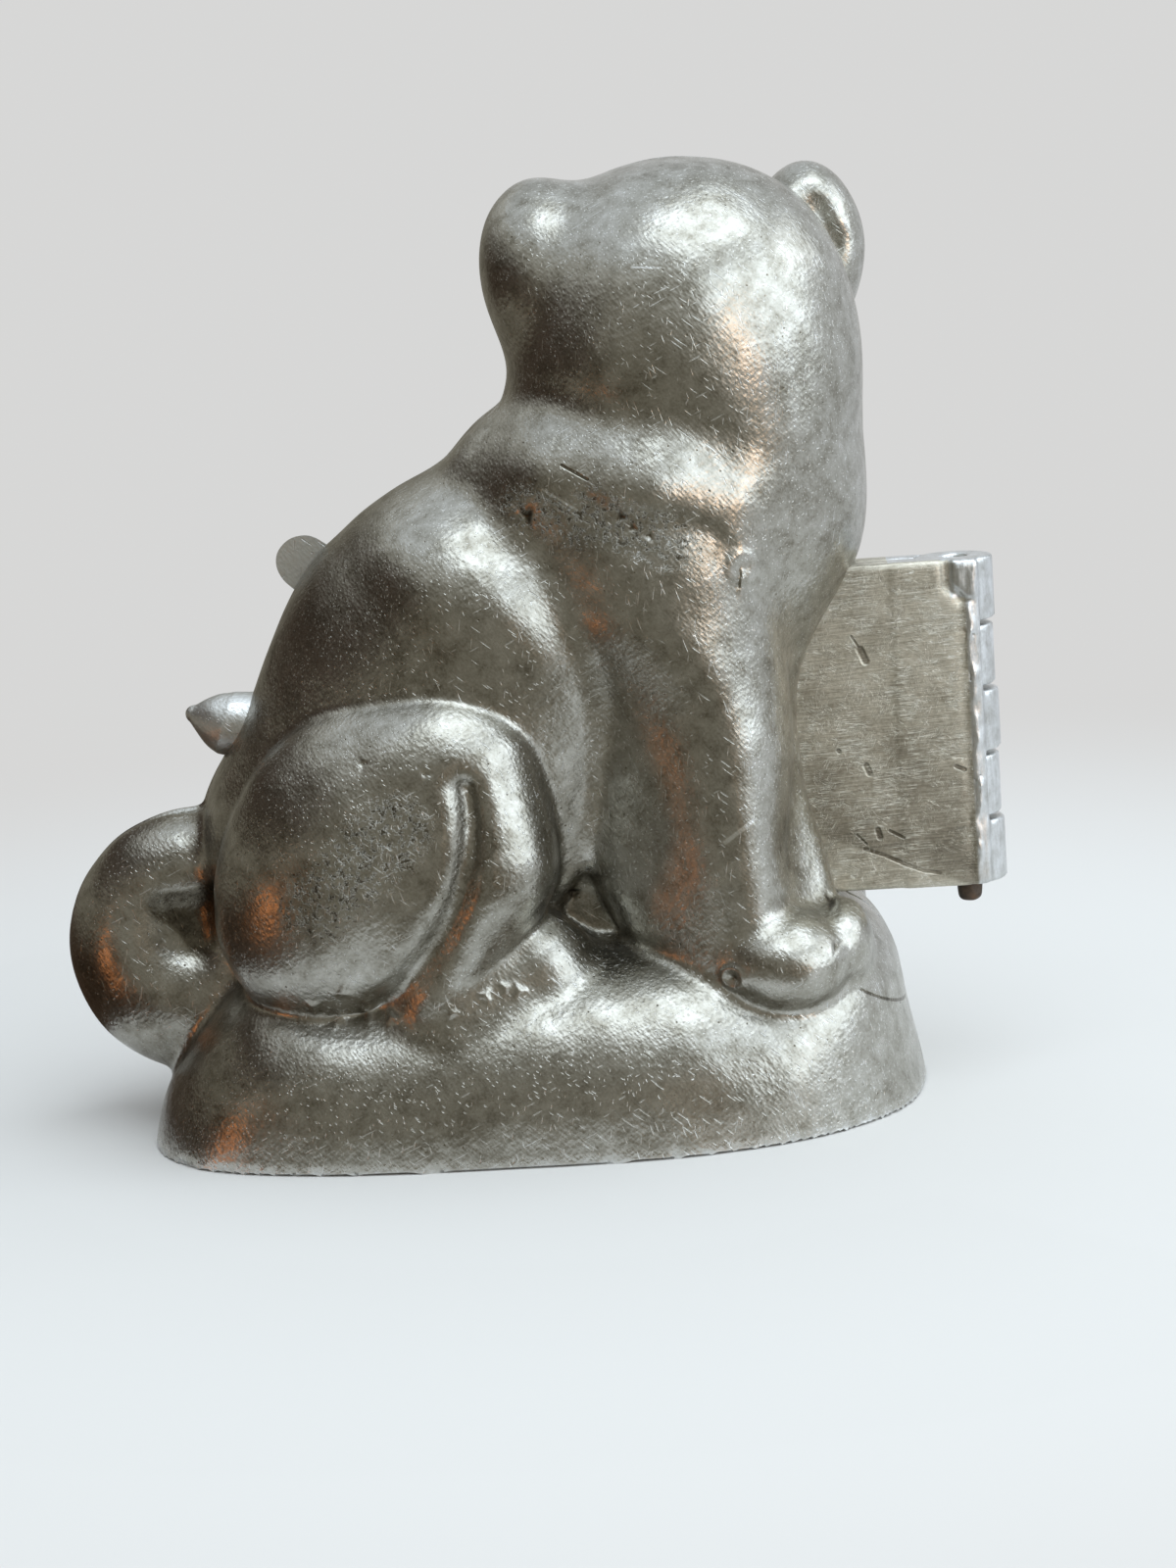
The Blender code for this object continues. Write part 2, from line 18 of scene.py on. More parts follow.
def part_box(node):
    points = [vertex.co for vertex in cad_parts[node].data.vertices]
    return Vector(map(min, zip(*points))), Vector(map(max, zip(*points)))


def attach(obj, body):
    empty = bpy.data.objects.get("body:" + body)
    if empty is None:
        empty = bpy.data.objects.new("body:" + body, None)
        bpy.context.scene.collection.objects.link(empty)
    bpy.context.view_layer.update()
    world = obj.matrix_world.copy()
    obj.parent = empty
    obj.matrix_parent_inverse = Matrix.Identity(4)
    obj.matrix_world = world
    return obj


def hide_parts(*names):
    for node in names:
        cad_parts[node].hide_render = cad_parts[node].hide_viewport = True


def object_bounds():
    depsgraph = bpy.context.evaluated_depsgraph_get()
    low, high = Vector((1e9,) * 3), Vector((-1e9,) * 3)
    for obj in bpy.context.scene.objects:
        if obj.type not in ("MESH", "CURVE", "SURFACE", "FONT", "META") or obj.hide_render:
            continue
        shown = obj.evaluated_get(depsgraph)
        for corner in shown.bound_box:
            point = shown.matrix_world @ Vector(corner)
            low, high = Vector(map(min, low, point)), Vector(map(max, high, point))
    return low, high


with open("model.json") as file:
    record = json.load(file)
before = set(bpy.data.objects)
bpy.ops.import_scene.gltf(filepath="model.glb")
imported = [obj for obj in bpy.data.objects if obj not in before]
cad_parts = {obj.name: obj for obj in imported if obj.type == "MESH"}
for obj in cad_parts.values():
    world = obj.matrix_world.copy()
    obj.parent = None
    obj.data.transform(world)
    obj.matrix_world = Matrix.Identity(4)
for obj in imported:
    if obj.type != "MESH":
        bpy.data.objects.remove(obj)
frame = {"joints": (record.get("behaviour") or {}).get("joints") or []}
CAD_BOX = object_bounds()

MM = 0.001


# Sizes that the frame gives


def node_box(node):
    """A node's lowest and highest corners, in millimetres."""
    low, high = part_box(node)
    return np.array(low) / MM, np.array(high) / MM


BACK_PLATE = node_box("back_hinge_plate")
FRONT_PLATE = node_box("front_hinge_plate")
BACK_STRIP = node_box("back_knuckle_strip")
PIN = node_box("hinge_pin")

HINGE_X = frame["joints"][0]["pos_m"][0] / MM
PLATE_BOTTOM = BACK_PLATE[0][2]
PLATE_TOP = BACK_PLATE[1][2]
BACK_FACE = -BACK_PLATE[0][1]
FRONT_FACE = FRONT_PLATE[1][1]
LEAF_SEAM_X = (BACK_PLATE[1][0] + BACK_STRIP[0][0]) / 2
BACK_KNUCKLE_RADIUS = BACK_STRIP[1][0] - HINGE_X
PIN_RADIUS = (PIN[1][0] - PIN[0][0]) / 2

# Sizes of the finish

WALL = 3.0
PARTING_GAP = 0.12
EDGE_BEVEL = 0.4
EDGE_INSET = 0.26
LEAF_ROOT_X = 22.0
LEAF_SINK = 0.8
LEAF_EDGE = 0.5
LEAF_SHARP_ANGLE = 60.0

KNUCKLE_COUNT = 5
FRONT_KNUCKLE_RADIUS = 3.6
KNUCKLE_CLEARANCE = 0.09
KNUCKLE_EDGE = 0.35
KNUCKLE_ROOM = 0.3
SAW_CUT = 0.46
HOOD_REACH = 2.1
HOOD_THICKNESS = 1.9
HOOD_FILLET = 0.3
POCKET_EDGE = 0.1
PIN_CLEARANCE = 0.08

BEAD_X = 45.2
BEAD_BOW = 0.35
BEAD_WIDTH = 0.32
BEAD_HEIGHT = 0.4
FILED_TO = 44.9
NOTCH_X = 42.9
NOTCH_FOOT = 49.4
NOTCH_WIDTH = 0.42
NOTCH_DEPTH = 0.55

CUSHION_HALF_LENGTH = 39.5
CUSHION_HALF_WIDTH = 27.0
CUSHION_MIDDLE_X = -1.0
CUSHION_HEIGHT = 19.5
CUSHION_EDGE = 9.0
CUSHION_SQUARENESS = 2.9
CUSHION_TAIL_SQUARENESS = 0.012
CUSHION_END_TAPER = 0.17
CUSHION_SIDE_TAPER = 0.12
CUSHION_CROWN_FALL = 0.010

TAIL_X = -35.5
TAIL_Z = 20.4
TAIL_RING = 6.7
TAIL_THICKNESS = 4.8
TAIL_TOP = 31.9
TAIL_THICKENING = 0.15

WEB_FOOT = 12.0
BELLY_WEB_THICKNESS = 9.0
TAIL_WEB_THICKNESS = 5.2
BELLY_WEB_BACK = -10.0
BELLY_WEB_FRONT = 18.0
BELLY_WEB_TOP = 44.0
CHEST_WEB_THICKNESS = 4.2
CHEST_WEB_BACK = 20.0
CHEST_WEB_FRONT = 26.1
CHEST_WEB_TOP = 52.0
CHEST_WEB_CORNER = 9.0
CHEST_WEB_LEAN = 0.15
CHEST_WEB_FLARE = 0.25
CHEST_WEB_FLARE_Z = 37.6
CHEST_WEB_FLARE_DROP = 20.0
CHEST_WEB_SPREAD = 0.3
CHEST_WEB_SLOPE = 0.9
CHEST_WEB_SLOPE_REACH = 5.0
CHEST_WEB_EDGE = 1.2

GROOVE_X = -4.7
GROOVE_Z = 33.5
GROOVE_BEND = 0.0285
GROOVE_TOP = 36.5
GROOVE_FOOT = 14.5
GROOVE_DEPTH = 1.5
GROOVE_SPREAD = 1.15
GROOVE_FOOT_SPREAD = 0.65
GROOVE_FADE_OUT = 10.0
GROOVE_FADE = 5.0

TRUNK_FILLET = 5.0
HEAD_FILLET = 4.0
FAR_EAR_FILLET = 0.8
LIMB_FILLET = 5.0
FORELEG_FILLET = 2.0
THIGH_FILLET = 0.6
PAW_FILLET = 1.2
TAIL_FILLET = 1.6
WEB_FILLET = 0.8
CHEST_WEB_FILLET = 3.0
CUSHION_FILLET = 1.2
FOOT_FILLET = 1.8


# Forms of the dog: places are (x, distance from the parting plane, z)


class Ball(NamedTuple):
    centre: tuple
    radii: tuple
    lean: float = 0.0


class Limb(NamedTuple):
    start: tuple
    end: tuple
    start_radius: float
    end_radius: float


class Swell(NamedTuple):
    x: float
    spread: float
    height: float


def run_of_limbs(*joints):
    """Limbs from joint to joint, each joint being (x, out, z, radius)."""
    return [Limb(a[:3], b[:3], a[3], b[3]) for a, b in zip(joints, joints[1:])]


BACK_FLATNESS = 0.86
BACK = run_of_limbs((8.0, 0.0, 56.0, 17.0), (-5.5, 0.0, 43.5, 18.9), (-14.5, 0.0, 27.0, 19.8))
CHEST = Ball((17.4, 0.0, 61.0), (17.0, 15.0, 16.5))
THROAT = Limb((21.0, 0.0, 75.0), (21.1, 0.0, 62.0), 12.6, 12.6)
SKULL = Ball((18.3, 0.0, 79.5), (16.8, 17.0, 15.2))
NECK = Ball((18.0, 0.0, 73.4), (16.4, 15.8, 9.0))
DEWLAP = Ball((23.8, 0.0, 68.0), (10.0, 14.8, 10.0))
BRISKET = Limb((20.0, 0.0, 58.0), (15.4, 0.0, 38.0), 13.2, 9.0)
LEFT_EAR = Ball((4.6, -1.0, 85.0), (6.0, 9.0, 8.4))
RIGHT_EAR = Ball((31.2, 7.0, 84.5), (5.8, 6.8, 8.8))

NECK_ROLL = run_of_limbs(
    (0.0, 4.4, 65.4, 4.4), (6.5, 9.7, 64.3, 5.2), (14.5, 12.0, 63.4, 5.4), (21.0, 11.4, 61.6, 5.0)
)
NECK_ROLL_FILLET = 3.5
EAR_HOLLOW = run_of_limbs(
    (31.0, 0.8, 91.2, 0.9), (32.4, 0.9, 88.6, 1.4), (33.9, 0.9, 85.2, 1.3), (34.8, 0.8, 81.0, 0.8)
)
EAR_HOLLOW_EDGE = 1.4

SHOULDER = Ball((14.6, 10.0, 57.0), (11.5, 8.4, 7.4), -8.0)
UPPER_ARM = Ball((14.2, 9.0, 47.6), (10.8, 9.0, 9.4), 10.0)
RIBS = Ball((-3.0, 5.0, 52.0), (12.5, 11.8, 7.0), -38.0)
BELLY = Ball((-1.0, 0.0, 35.0), (12.5, 13.0, 19.0), 20.0)
BELLY_EDGE = (4.6, 25.8)
BELLY_EDGE_WAY = (0.79, -0.61)
BELLY_EDGE_ROUND = 0.8
BELLY_FILLET = 4.0
FORELEG = run_of_limbs(
    (15.6, 7.9, 47.0, 10.3), (16.0, 9.6, 37.0, 9.6), (15.3, 12.0, 27.0, 8.8), (18.2, 13.4, 18.0, 7.8)
)
FLANK_WAY = (-0.52, 0.85)
FLANK_PLACE = 6.7
FLANK_TOP = 38.0
FLANK_OPENING = 0.03
FLANK_ROUND = 4.0
FOREPAW = Ball((24.6, 15.5, 16.4), (6.6, 6.6, 5.0))
SIDE_TOE = Ball((30.6, 11.5, 17.2), (3.0, 5.5, 4.2))

THIGH = Ball((-15.0, 11.8, 28.0), (18.8, 12.2, 15.0), 50.0)
SHIN = run_of_limbs((-6.2, 13.6, 36.4, 7.9), (-3.8, 17.0, 27.5, 5.3), (-9.6, 17.8, 17.0, 4.6))
HIND_FOOT = run_of_limbs((-8.0, 14.2, 13.0, 8.2), (-0.4, 13.0, 15.6, 6.9))

FACE_X = 18.0
MUZZLE = Ball((0.0, 15.6, 74.6), (9.4, 7.0, 6.8))
CHIN = Ball((0.0, 15.8, 68.8), (5.0, 5.2, 3.2))
FLEW = Ball((4.4, 17.6, 72.4), (4.8, 5.0, 4.8))
NOSE = Ball((0.0, 21.8, 78.0), (3.6, 2.2, 2.2))
EYE = Ball((7.0, 14.4, 81.0), (2.7, 2.5, 2.5))
BROW = Limb((10.4, 13.0, 84.9), (4.0, 14.4, 84.5), 1.5, 1.3)
FACE_AND_FILLETS = ((MUZZLE, 3.5), (CHIN, 2.0), (FLEW, 1.5), (NOSE, 1.0), (EYE, 1.0), (BROW, 2.0))

CUSHION_SWELLS = (
    Swell(33.0, 7.0, 2.0), Swell(23.0, 6.0, -1.5), Swell(-18.0, 12.0, -1.5), Swell(-41.0, 9.0, -9.5)
)


def fillet(a, b, reach):
    """The union of two solids, with a fillet where they meet."""
    overlap = np.maximum(reach - np.abs(a - b), 0.0) / reach
    return np.minimum(a, b) - overlap * overlap * reach / 4


def common(a, b, reach):
    """What two solids share, with its edge rounded."""
    return -fillet(-a, -b, reach)


def ball(place, form):
    """Distance to an ellipsoid, leaned in the X-Z plane."""
    x, y, z = (place[i] - form.centre[i] for i in range(3))
    lean = math.radians(form.lean)
    along = x * math.cos(lean) + z * math.sin(lean)
    across = z * math.cos(lean) - x * math.sin(lean)
    a, b, c = form.radii
    depth = np.sqrt((along / a) ** 2 + (y / b) ** 2 + (across / c) ** 2)
    slope = np.sqrt((along / a**2) ** 2 + (y / b**2) ** 2 + (across / c**2) ** 2)
    return depth * (depth - 1.0) / np.maximum(slope, 1e-9)


def limb(place, form):
    """Distance to a round limb that tapers from start to end."""
    run = [form.end[i] - form.start[i] for i in range(3)]
    offset = [place[i] - form.start[i] for i in range(3)]
    length_squared = sum(r * r for r in run)
    share = np.clip(sum(o * r for o, r in zip(offset, run)) / length_squared, 0.0, 1.0)
    away = np.sqrt(sum((o - share * r) ** 2 for o, r in zip(offset, run)))
    return away - form.start_radius - (form.end_radius - form.start_radius) * share


def shape(place, form):
    return ball(place, form) if isinstance(form, Ball) else limb(place, form)


def to_seam(place, form):
    """The place as a form sees it that reaches from its middle in to the parting plane."""
    x, out, z = place
    return x, np.maximum(out, form[0][1]), z


def joined(place, forms, reach, body=np.inf, filled_in=False):
    """Forms added to a body one by one with a fillet. Filled in, they reach in to the parting plane."""
    for form in forms:
        seen = to_seam(place, form) if filled_in else place
        body = fillet(body, shape(seen, form), reach)
    return body


def swell(x, form):
    return form.height * np.exp(-(((x - form.x) / form.spread) ** 2))


def cushion(place):
    """A plump cushion with a flat underside, lower at its tail end and pressed in under the dog."""
    x, out, z = place
    rise = np.maximum(z, 0.0)
    squareness = CUSHION_SQUARENESS - CUSHION_TAIL_SQUARENESS * x
    along = (x - CUSHION_MIDDLE_X) / (CUSHION_HALF_LENGTH - CUSHION_END_TAPER * rise)
    across = out / (CUSHION_HALF_WIDTH - CUSHION_SIDE_TAPER * rise)
    plan = (np.abs(along) ** squareness + np.abs(across) ** squareness) ** (1 / squareness)
    side = (plan - 1.0) * CUSHION_HALF_WIDTH
    crown = CUSHION_HEIGHT - CUSHION_CROWN_FALL * out**2
    for form in CUSHION_SWELLS:
        crown = crown + swell(x, form)
    return common(side, z - crown, CUSHION_EDGE)


def webs(place):
    """The flat metal that closes the gaps between belly, forelegs and cushion, and inside the tail."""
    x, out, z = place
    lean = CHEST_WEB_LEAN * np.maximum(z - CHEST_WEB_FLARE_Z, 0)
    drop = np.clip(CHEST_WEB_FLARE_Z - z, 0, CHEST_WEB_FLARE_DROP)
    beyond = x - CHEST_WEB_FRONT - lean - CHEST_WEB_FLARE * drop
    corner = common(beyond, z - CHEST_WEB_TOP, CHEST_WEB_CORNER)
    slope = CHEST_WEB_SLOPE * np.clip(-beyond, 0, CHEST_WEB_SLOPE_REACH)
    chest_face = out - CHEST_WEB_THICKNESS - slope - CHEST_WEB_SPREAD * drop
    chest_web = np.maximum(common(chest_face, corner, CHEST_WEB_EDGE), CHEST_WEB_BACK - x)
    belly_span = np.maximum(x - BELLY_WEB_FRONT, BELLY_WEB_BACK - x)
    belly_web = np.maximum(np.maximum(out - BELLY_WEB_THICKNESS, z - BELLY_WEB_TOP), belly_span)
    tail_disc = np.hypot(x - TAIL_X, z - TAIL_Z) - TAIL_RING
    tail_web = np.maximum(tail_disc, out - TAIL_WEB_THICKNESS)
    return np.maximum(chest_web, WEB_FOOT - z), np.maximum(belly_web, WEB_FOOT - z), tail_web


def thigh_groove(x, out, z):
    """How deep the curved groove between thigh and shin is at a place."""
    line = GROOVE_X - GROOVE_BEND * (z - GROOVE_Z) ** 2
    slant = np.sqrt(1 + (2 * GROOVE_BEND * (z - GROOVE_Z)) ** 2)
    beyond = np.maximum(z - GROOVE_TOP, 0) + np.maximum(GROOVE_FOOT - z, 0)
    away = np.hypot((x - line) / slant, beyond)
    fade = np.clip((out - GROOVE_FADE_OUT) / GROOVE_FADE, 0, 1)
    drop = np.clip((GROOVE_TOP - z) / (GROOVE_TOP - GROOVE_FOOT), 0, 1)
    return swell(away, Swell(0.0, GROOVE_SPREAD + GROOVE_FOOT_SPREAD * drop, GROOVE_DEPTH)) * fade


def face(place, head):
    """A calm, short-nosed dog's face, on the side of the head that looks out of the front half."""
    mirrored = (np.abs(place[0] - FACE_X), place[1], place[2])
    for form, reach in FACE_AND_FILLETS:
        head = fillet(head, shape(mirrored, form), reach)
    return head


def figure(x, y, z):
    """Signed distance to the outside of the closed mould, without leaves and lugs."""
    out = np.abs(y)
    either = (x, out, z)
    place = (x, y, z)
    chest_web, belly_web, tail_web = webs(either)

    body = joined((x, out / BACK_FLATNESS, z), BACK, TRUNK_FILLET) * BACK_FLATNESS
    body = joined(either, (CHEST, THROAT, DEWLAP), TRUNK_FILLET, body)
    body = fillet(body, joined(place, (SKULL, NECK), TRUNK_FILLET), HEAD_FILLET)
    body = fillet(body, ball(place, LEFT_EAR), HEAD_FILLET)
    body = fillet(body, ball(place, RIGHT_EAR), FAR_EAR_FILLET)
    body = common(body, -joined(place, EAR_HOLLOW, EAR_HOLLOW_EDGE), EAR_HOLLOW_EDGE)
    body = fillet(body, joined(either, NECK_ROLL, LIMB_FILLET), NECK_ROLL_FILLET)
    body = face(place, body)

    body = joined(either, (RIBS,), TRUNK_FILLET, body, filled_in=True)
    body = fillet(body, limb(either, BRISKET), TRUNK_FILLET)
    foreleg = joined(either, (*FORELEG, UPPER_ARM), LIMB_FILLET, filled_in=True)
    flank = FLANK_WAY[0] * x + FLANK_WAY[1] * out - FLANK_PLACE
    foreleg = common(foreleg, flank - FLANK_OPENING * np.maximum(z - FLANK_TOP, 0) ** 2, FLANK_ROUND)
    foreleg = joined(either, (SHOULDER,), LIMB_FILLET, foreleg, filled_in=True)
    below_edge = (x - BELLY_EDGE[0]) * BELLY_EDGE_WAY[0] + (z - BELLY_EDGE[1]) * BELLY_EDGE_WAY[1]
    body = fillet(body, common(ball(either, BELLY), below_edge, BELLY_EDGE_ROUND), BELLY_FILLET)
    body = fillet(body, foreleg, FORELEG_FILLET)
    body = fillet(body, belly_web, WEB_FILLET)
    body = fillet(body, chest_web, CHEST_WEB_FILLET)

    thigh = joined(either, (*SHIN, THIGH), LIMB_FILLET, filled_in=True)
    body = fillet(body, thigh, THIGH_FILLET)
    body = body + thigh_groove(x, out, z)
    paw = joined(either, (FOREPAW,), PAW_FILLET, ball(either, SIDE_TOE), filled_in=True)
    body = fillet(body, paw, PAW_FILLET)

    tail = np.hypot(np.hypot(x - TAIL_X, z - TAIL_Z) - TAIL_RING, out)
    tail = tail - TAIL_THICKNESS - TAIL_THICKENING * (TAIL_TOP - z)
    body = fillet(body, tail, TAIL_FILLET)
    body = fillet(body, tail_web, WEB_FILLET)
    ground = fillet(cushion(either), joined(either, HIND_FOOT, LIMB_FILLET), FOOT_FILLET)
    body = fillet(body, ground, CUSHION_FILLET)
    return np.maximum(body, -z)


# Wear of the casting: places are (x, z) on the back half, which the photograph shows


class Mark(NamedTuple):
    """A round mark that stands out by its height, or is sunk if that is below nought."""
    x: float
    z: float
    radius: float
    height: float


RINGS = (Mark(22.7, 55.7, 1.2, 0.1), Mark(19.6, 16.0, 0.95, 0.2))
CASTING_BUMPS = (
    Mark(-18.3, 17.2, 0.6, 0.35), Mark(-16.4, 14.6, 0.75, 0.4), Mark(-19.0, 14.0, 0.6, 0.3),
    Mark(-13.9, 14.1, 0.5, 0.28), Mark(-7.8, 14.7, 0.45, 0.25), Mark(-4.6, 16.0, 0.5, 0.3),
    Mark(-2.6, 16.5, 0.4, 0.25), Mark(-1.3, 16.1, 0.45, 0.25), Mark(-21.6, 15.6, 0.5, 0.22),
)
PITS = (
    Mark(11.5, 61.3, 0.5, -0.26), Mark(14.2, 59.4, 0.4, -0.2), Mark(2.3, 61.5, 0.6, -0.25),
    Mark(-8.5, 38.3, 0.4, -0.14), Mark(-14.7, 39.4, 0.35, -0.12), Mark(29.5, 21.2, 0.4, -0.25),
    Mark(29.8, 18.3, 0.35, -0.2), Mark(4.1, 23.0, 0.5, -0.3), Mark(12.6, 60.2, 0.45, -0.2),
)
FRONT_STEP = Mark(-33.5, 31.0, 4.5, 0.5)
PIT_LOBES = 3
PIT_UNEVENNESS = 0.3
TAIL_DIMPLE = Mark(-35.1, 22.3, 2.6, -0.7)
RING_WIDTH = 0.36
RING_HOLLOW = 0.5
MARK_REACH = 1.6
MARK_FADE_OUT = 2.0


class Ledge(NamedTuple):
    """A line on which the surface stands out, sharp on one side and easing off on the other."""
    points: tuple
    height: float
    sharp_width: float
    soft_width: float


SHOULDER_CAP = Ledge(((11.0, 63.4), (17.4, 62.4), (21.4, 60.4), (22.9, 58.0), (22.7, 56.2)), 0.4, 3.2, 1.2)
RIB_BAND = Ledge(((-6.4, 61.2), (-1.5, 56.0), (3.0, 48.2)), 0.2, 2.0, 2.0)

WAVE_COUNT = 14
WAVE_LENGTHS = (5.0, 22.0)
WAVE_HEIGHT = 0.02
WAVE_SEED = 7


def line_distance(x, z, points):
    """Distance to a line of (x, z) points, and on which side of it a place lies."""
    nearest = np.full(x.shape, np.inf)
    side = np.zeros(x.shape)
    for (ax, az), (bx, bz) in zip(points, points[1:]):
        run_x, run_z = bx - ax, bz - az
        share = np.clip(((x - ax) * run_x + (z - az) * run_z) / (run_x**2 + run_z**2), 0, 1)
        away = np.hypot(x - ax - share * run_x, z - az - share * run_z)
        closer = away < nearest
        nearest = np.where(closer, away, nearest)
        side = np.where(closer, np.sign(run_x * (z - az) - run_z * (x - ax)), side)
    return nearest, side


def ledge(x, z, form):
    away, side = line_distance(x, z, form.points)
    width = np.where(side > 0, form.sharp_width, form.soft_width)
    return form.height * np.exp(-((away / width) ** 2))


def waves(points):
    """Slow unevenness of a casting, the same each run."""
    chance = np.random.default_rng(WAVE_SEED)
    total = np.zeros(len(points))
    for _ in range(WAVE_COUNT):
        way = chance.normal(size=3)
        way /= np.linalg.norm(way)
        length = chance.uniform(*WAVE_LENGTHS)
        total += np.sin(points @ way * math.tau / length + chance.uniform(0, math.tau))
    return WAVE_HEIGHT * total


def marks(points):
    """Bumps, rings and pits of the back half."""
    x, y, z = points.T
    total = np.zeros(len(points))
    for mark in (*CASTING_BUMPS, *PITS, TAIL_DIMPLE):
        away = np.hypot(x - mark.x, z - mark.z)
        turn = np.arctan2(z - mark.z, x - mark.x)
        away = away * (1 + PIT_UNEVENNESS * np.sin(PIT_LOBES * turn + mark.x))
        total += mark.height * np.exp(-((away / mark.radius) ** 2))
    for mark in RINGS:
        away = np.hypot(x - mark.x, z - mark.z) / mark.radius
        ring = np.exp(-(((away - 1) / RING_WIDTH) ** 2))
        total += mark.height * (ring - np.exp(-((away / RING_HOLLOW) ** 2)))
    for form in (SHOULDER_CAP, RIB_BAND):
        total += ledge(x, z, form)
    return total * np.clip(-y / MARK_FADE_OUT, 0, 1)


def front_step(points):
    """How far the front half stands proud of the other at the top of the tail."""
    x, y, z = points.T
    step = np.exp(-((np.hypot(x - FRONT_STEP.x, z - FRONT_STEP.z) / FRONT_STEP.radius) ** 2))
    return FRONT_STEP.height * step * (y > 0)


def near_marks(points):
    """Which points lie by a mark that needs a finer mesh."""
    x, y, z = points.T
    near = np.zeros(len(points), bool)
    for mark in (*CASTING_BUMPS, *PITS, *RINGS):
        near |= np.hypot(x - mark.x, z - mark.z) < mark.radius * MARK_REACH
    return near & (y < -MARK_FADE_OUT)


# Meshes

CELL = 0.52
HOLLOW_CELL = 1.0
LEAF_CELL = 0.3
SMALL_CELL = 0.2
COARSE_CELLS = 4
NEAR_REACH = 3.4
FIELD_STEP = 0.04
ROOM = 2.0

UNIT = np.eye(3, dtype=int)
SQUARE = ((0, 0), (0, 1), (1, 0), (1, 1))


def field_values(field, low, counts, cell):
    """The field on a grid. Far from the surface, where only its sign matters, it is worked out coarsely."""
    coarse_axes = [l + cell * COARSE_CELLS * np.arange(n // COARSE_CELLS + 2) for l, n in zip(low, counts)]
    coarse = field(*np.meshgrid(*coarse_axes, indexing="ij"))
    nearest = [np.rint(np.arange(n) / COARSE_CELLS).astype(int) for n in counts]
    value = coarse[np.ix_(*nearest)]
    near = np.argwhere(np.abs(value) < NEAR_REACH * max(cell * COARSE_CELLS / 2, 1.0))
    value[tuple(near.T)] = field(*(np.asarray(low) + cell * near).T)
    return value


def surface_net(value, low, cell):
    """Points and quads of the surface where the value is nought, one point in each cell that it crosses."""
    inside = value < 0
    corners = np.zeros([n - 1 for n in value.shape], int)
    for offset in np.ndindex(2, 2, 2):
        corners += inside[tuple(slice(o, n - 1 + o) for o, n in zip(offset, value.shape))]
    crossed = (corners > 0) & (corners < 8)
    cells = np.argwhere(crossed)
    number = np.full(crossed.shape, -1)
    number[crossed] = np.arange(len(cells))

    total = np.zeros((len(cells), 3))
    hits = np.zeros(len(cells))
    for axis in range(3):
        others = [UNIT[(axis + 1) % 3], UNIT[(axis + 2) % 3]]
        for a, b in SQUARE:
            start = cells + a * others[0] + b * others[1]
            at_start = value[tuple(start.T)]
            at_end = value[tuple((start + UNIT[axis]).T)]
            cut = (at_start < 0) != (at_end < 0)
            share = at_start[cut] / (at_start[cut] - at_end[cut])
            total[cut] += start[cut] + share[:, None] * UNIT[axis]
            hits[cut] += 1
    points = np.asarray(low) + cell * total / hits[:, None]

    quads = []
    for axis in range(3):
        ahead = np.roll(inside, -1, axis)
        changes = np.argwhere(inside != ahead)
        changes = changes[(changes >= 1).all(axis=1) | (changes[:, axis] == 0)]
        fits = (changes < np.array(value.shape) - 1).all(axis=1)
        changes = changes[fits]
        u, v = UNIT[(axis + 1) % 3], UNIT[(axis + 2) % 3]
        around = [changes - u - v, changes - v, changes, changes - u]
        quad = np.stack([number[tuple(c.T)] for c in around], axis=1)
        leaving = inside[tuple(changes.T)]
        quad[~leaving] = quad[~leaving][:, ::-1]
        quads.append(quad)
    quads = np.concatenate(quads)
    return points, quads[(quads >= 0).all(axis=1)]


def gradient(field, points):
    slopes = []
    for axis in range(3):
        step = FIELD_STEP * UNIT[axis]
        slopes.append(field(*(points + step).T) - field(*(points - step).T))
    return np.stack(slopes, axis=1) / (2 * FIELD_STEP)


def settle(field, points, rounds=2):
    """Moves points on to the surface."""
    for _ in range(rounds):
        slope = gradient(field, points)
        steepness = np.maximum((slope**2).sum(axis=1), 0.1)
        points = points - slope * (field(*points.T) / steepness)[:, None]
    return points


def normals(field, points):
    slope = gradient(field, points)
    return slope / np.maximum(np.linalg.norm(slope, axis=1), 1e-6)[:, None]


def grid_of(low, high, cell):
    low = np.asarray(low, float) - ROOM * cell
    counts = np.ceil((np.asarray(high, float) + ROOM * cell - low) / cell).astype(int) + 1
    return low, counts


def net_of(field, low, high, cell):
    """Points and quads of a small form's surface inside a box."""
    low, counts = grid_of(low, high, cell)
    axes = [l + cell * np.arange(n) for l, n in zip(low, counts)]
    return surface_net(field(*np.meshgrid(*axes, indexing="ij")), low, cell)


def mesh_of(name, points, faces, scale=MM):
    """A mesh from points in millimetres."""
    mesh = bpy.data.meshes.new(name)
    mesh.from_pydata((np.asarray(points) * scale).tolist(), [], np.asarray(faces).tolist())
    return mesh


def bmesh_of(points, faces):
    """A bmesh in millimetres."""
    mesh = mesh_of("drawn", points, faces, 1.0)
    bm = bmesh.new()
    bm.from_mesh(mesh)
    bpy.data.meshes.remove(mesh)
    return bm


def places_of(bm):
    return np.array([v.co[:] for v in bm.verts])


def keep_side(bm, point, away):
    """Cuts the mesh in a plane and keeps what lies on the side that away points to."""
    everything = list(bm.verts) + list(bm.edges) + list(bm.faces)
    bmesh.ops.bisect_plane(bm, geom=everything, plane_co=point, plane_no=away, clear_inner=True)


def open_edges(bm):
    return [edge for edge in bm.edges if edge.is_boundary]


def close_cut(bm, facing):
    bmesh.ops.triangle_fill(bm, edges=open_edges(bm), use_beauty=True, normal=facing)


# Pieces


def linked(name, data):
    thing = bpy.data.objects.new(name, data)
    bpy.context.collection.objects.link(thing)
    return thing


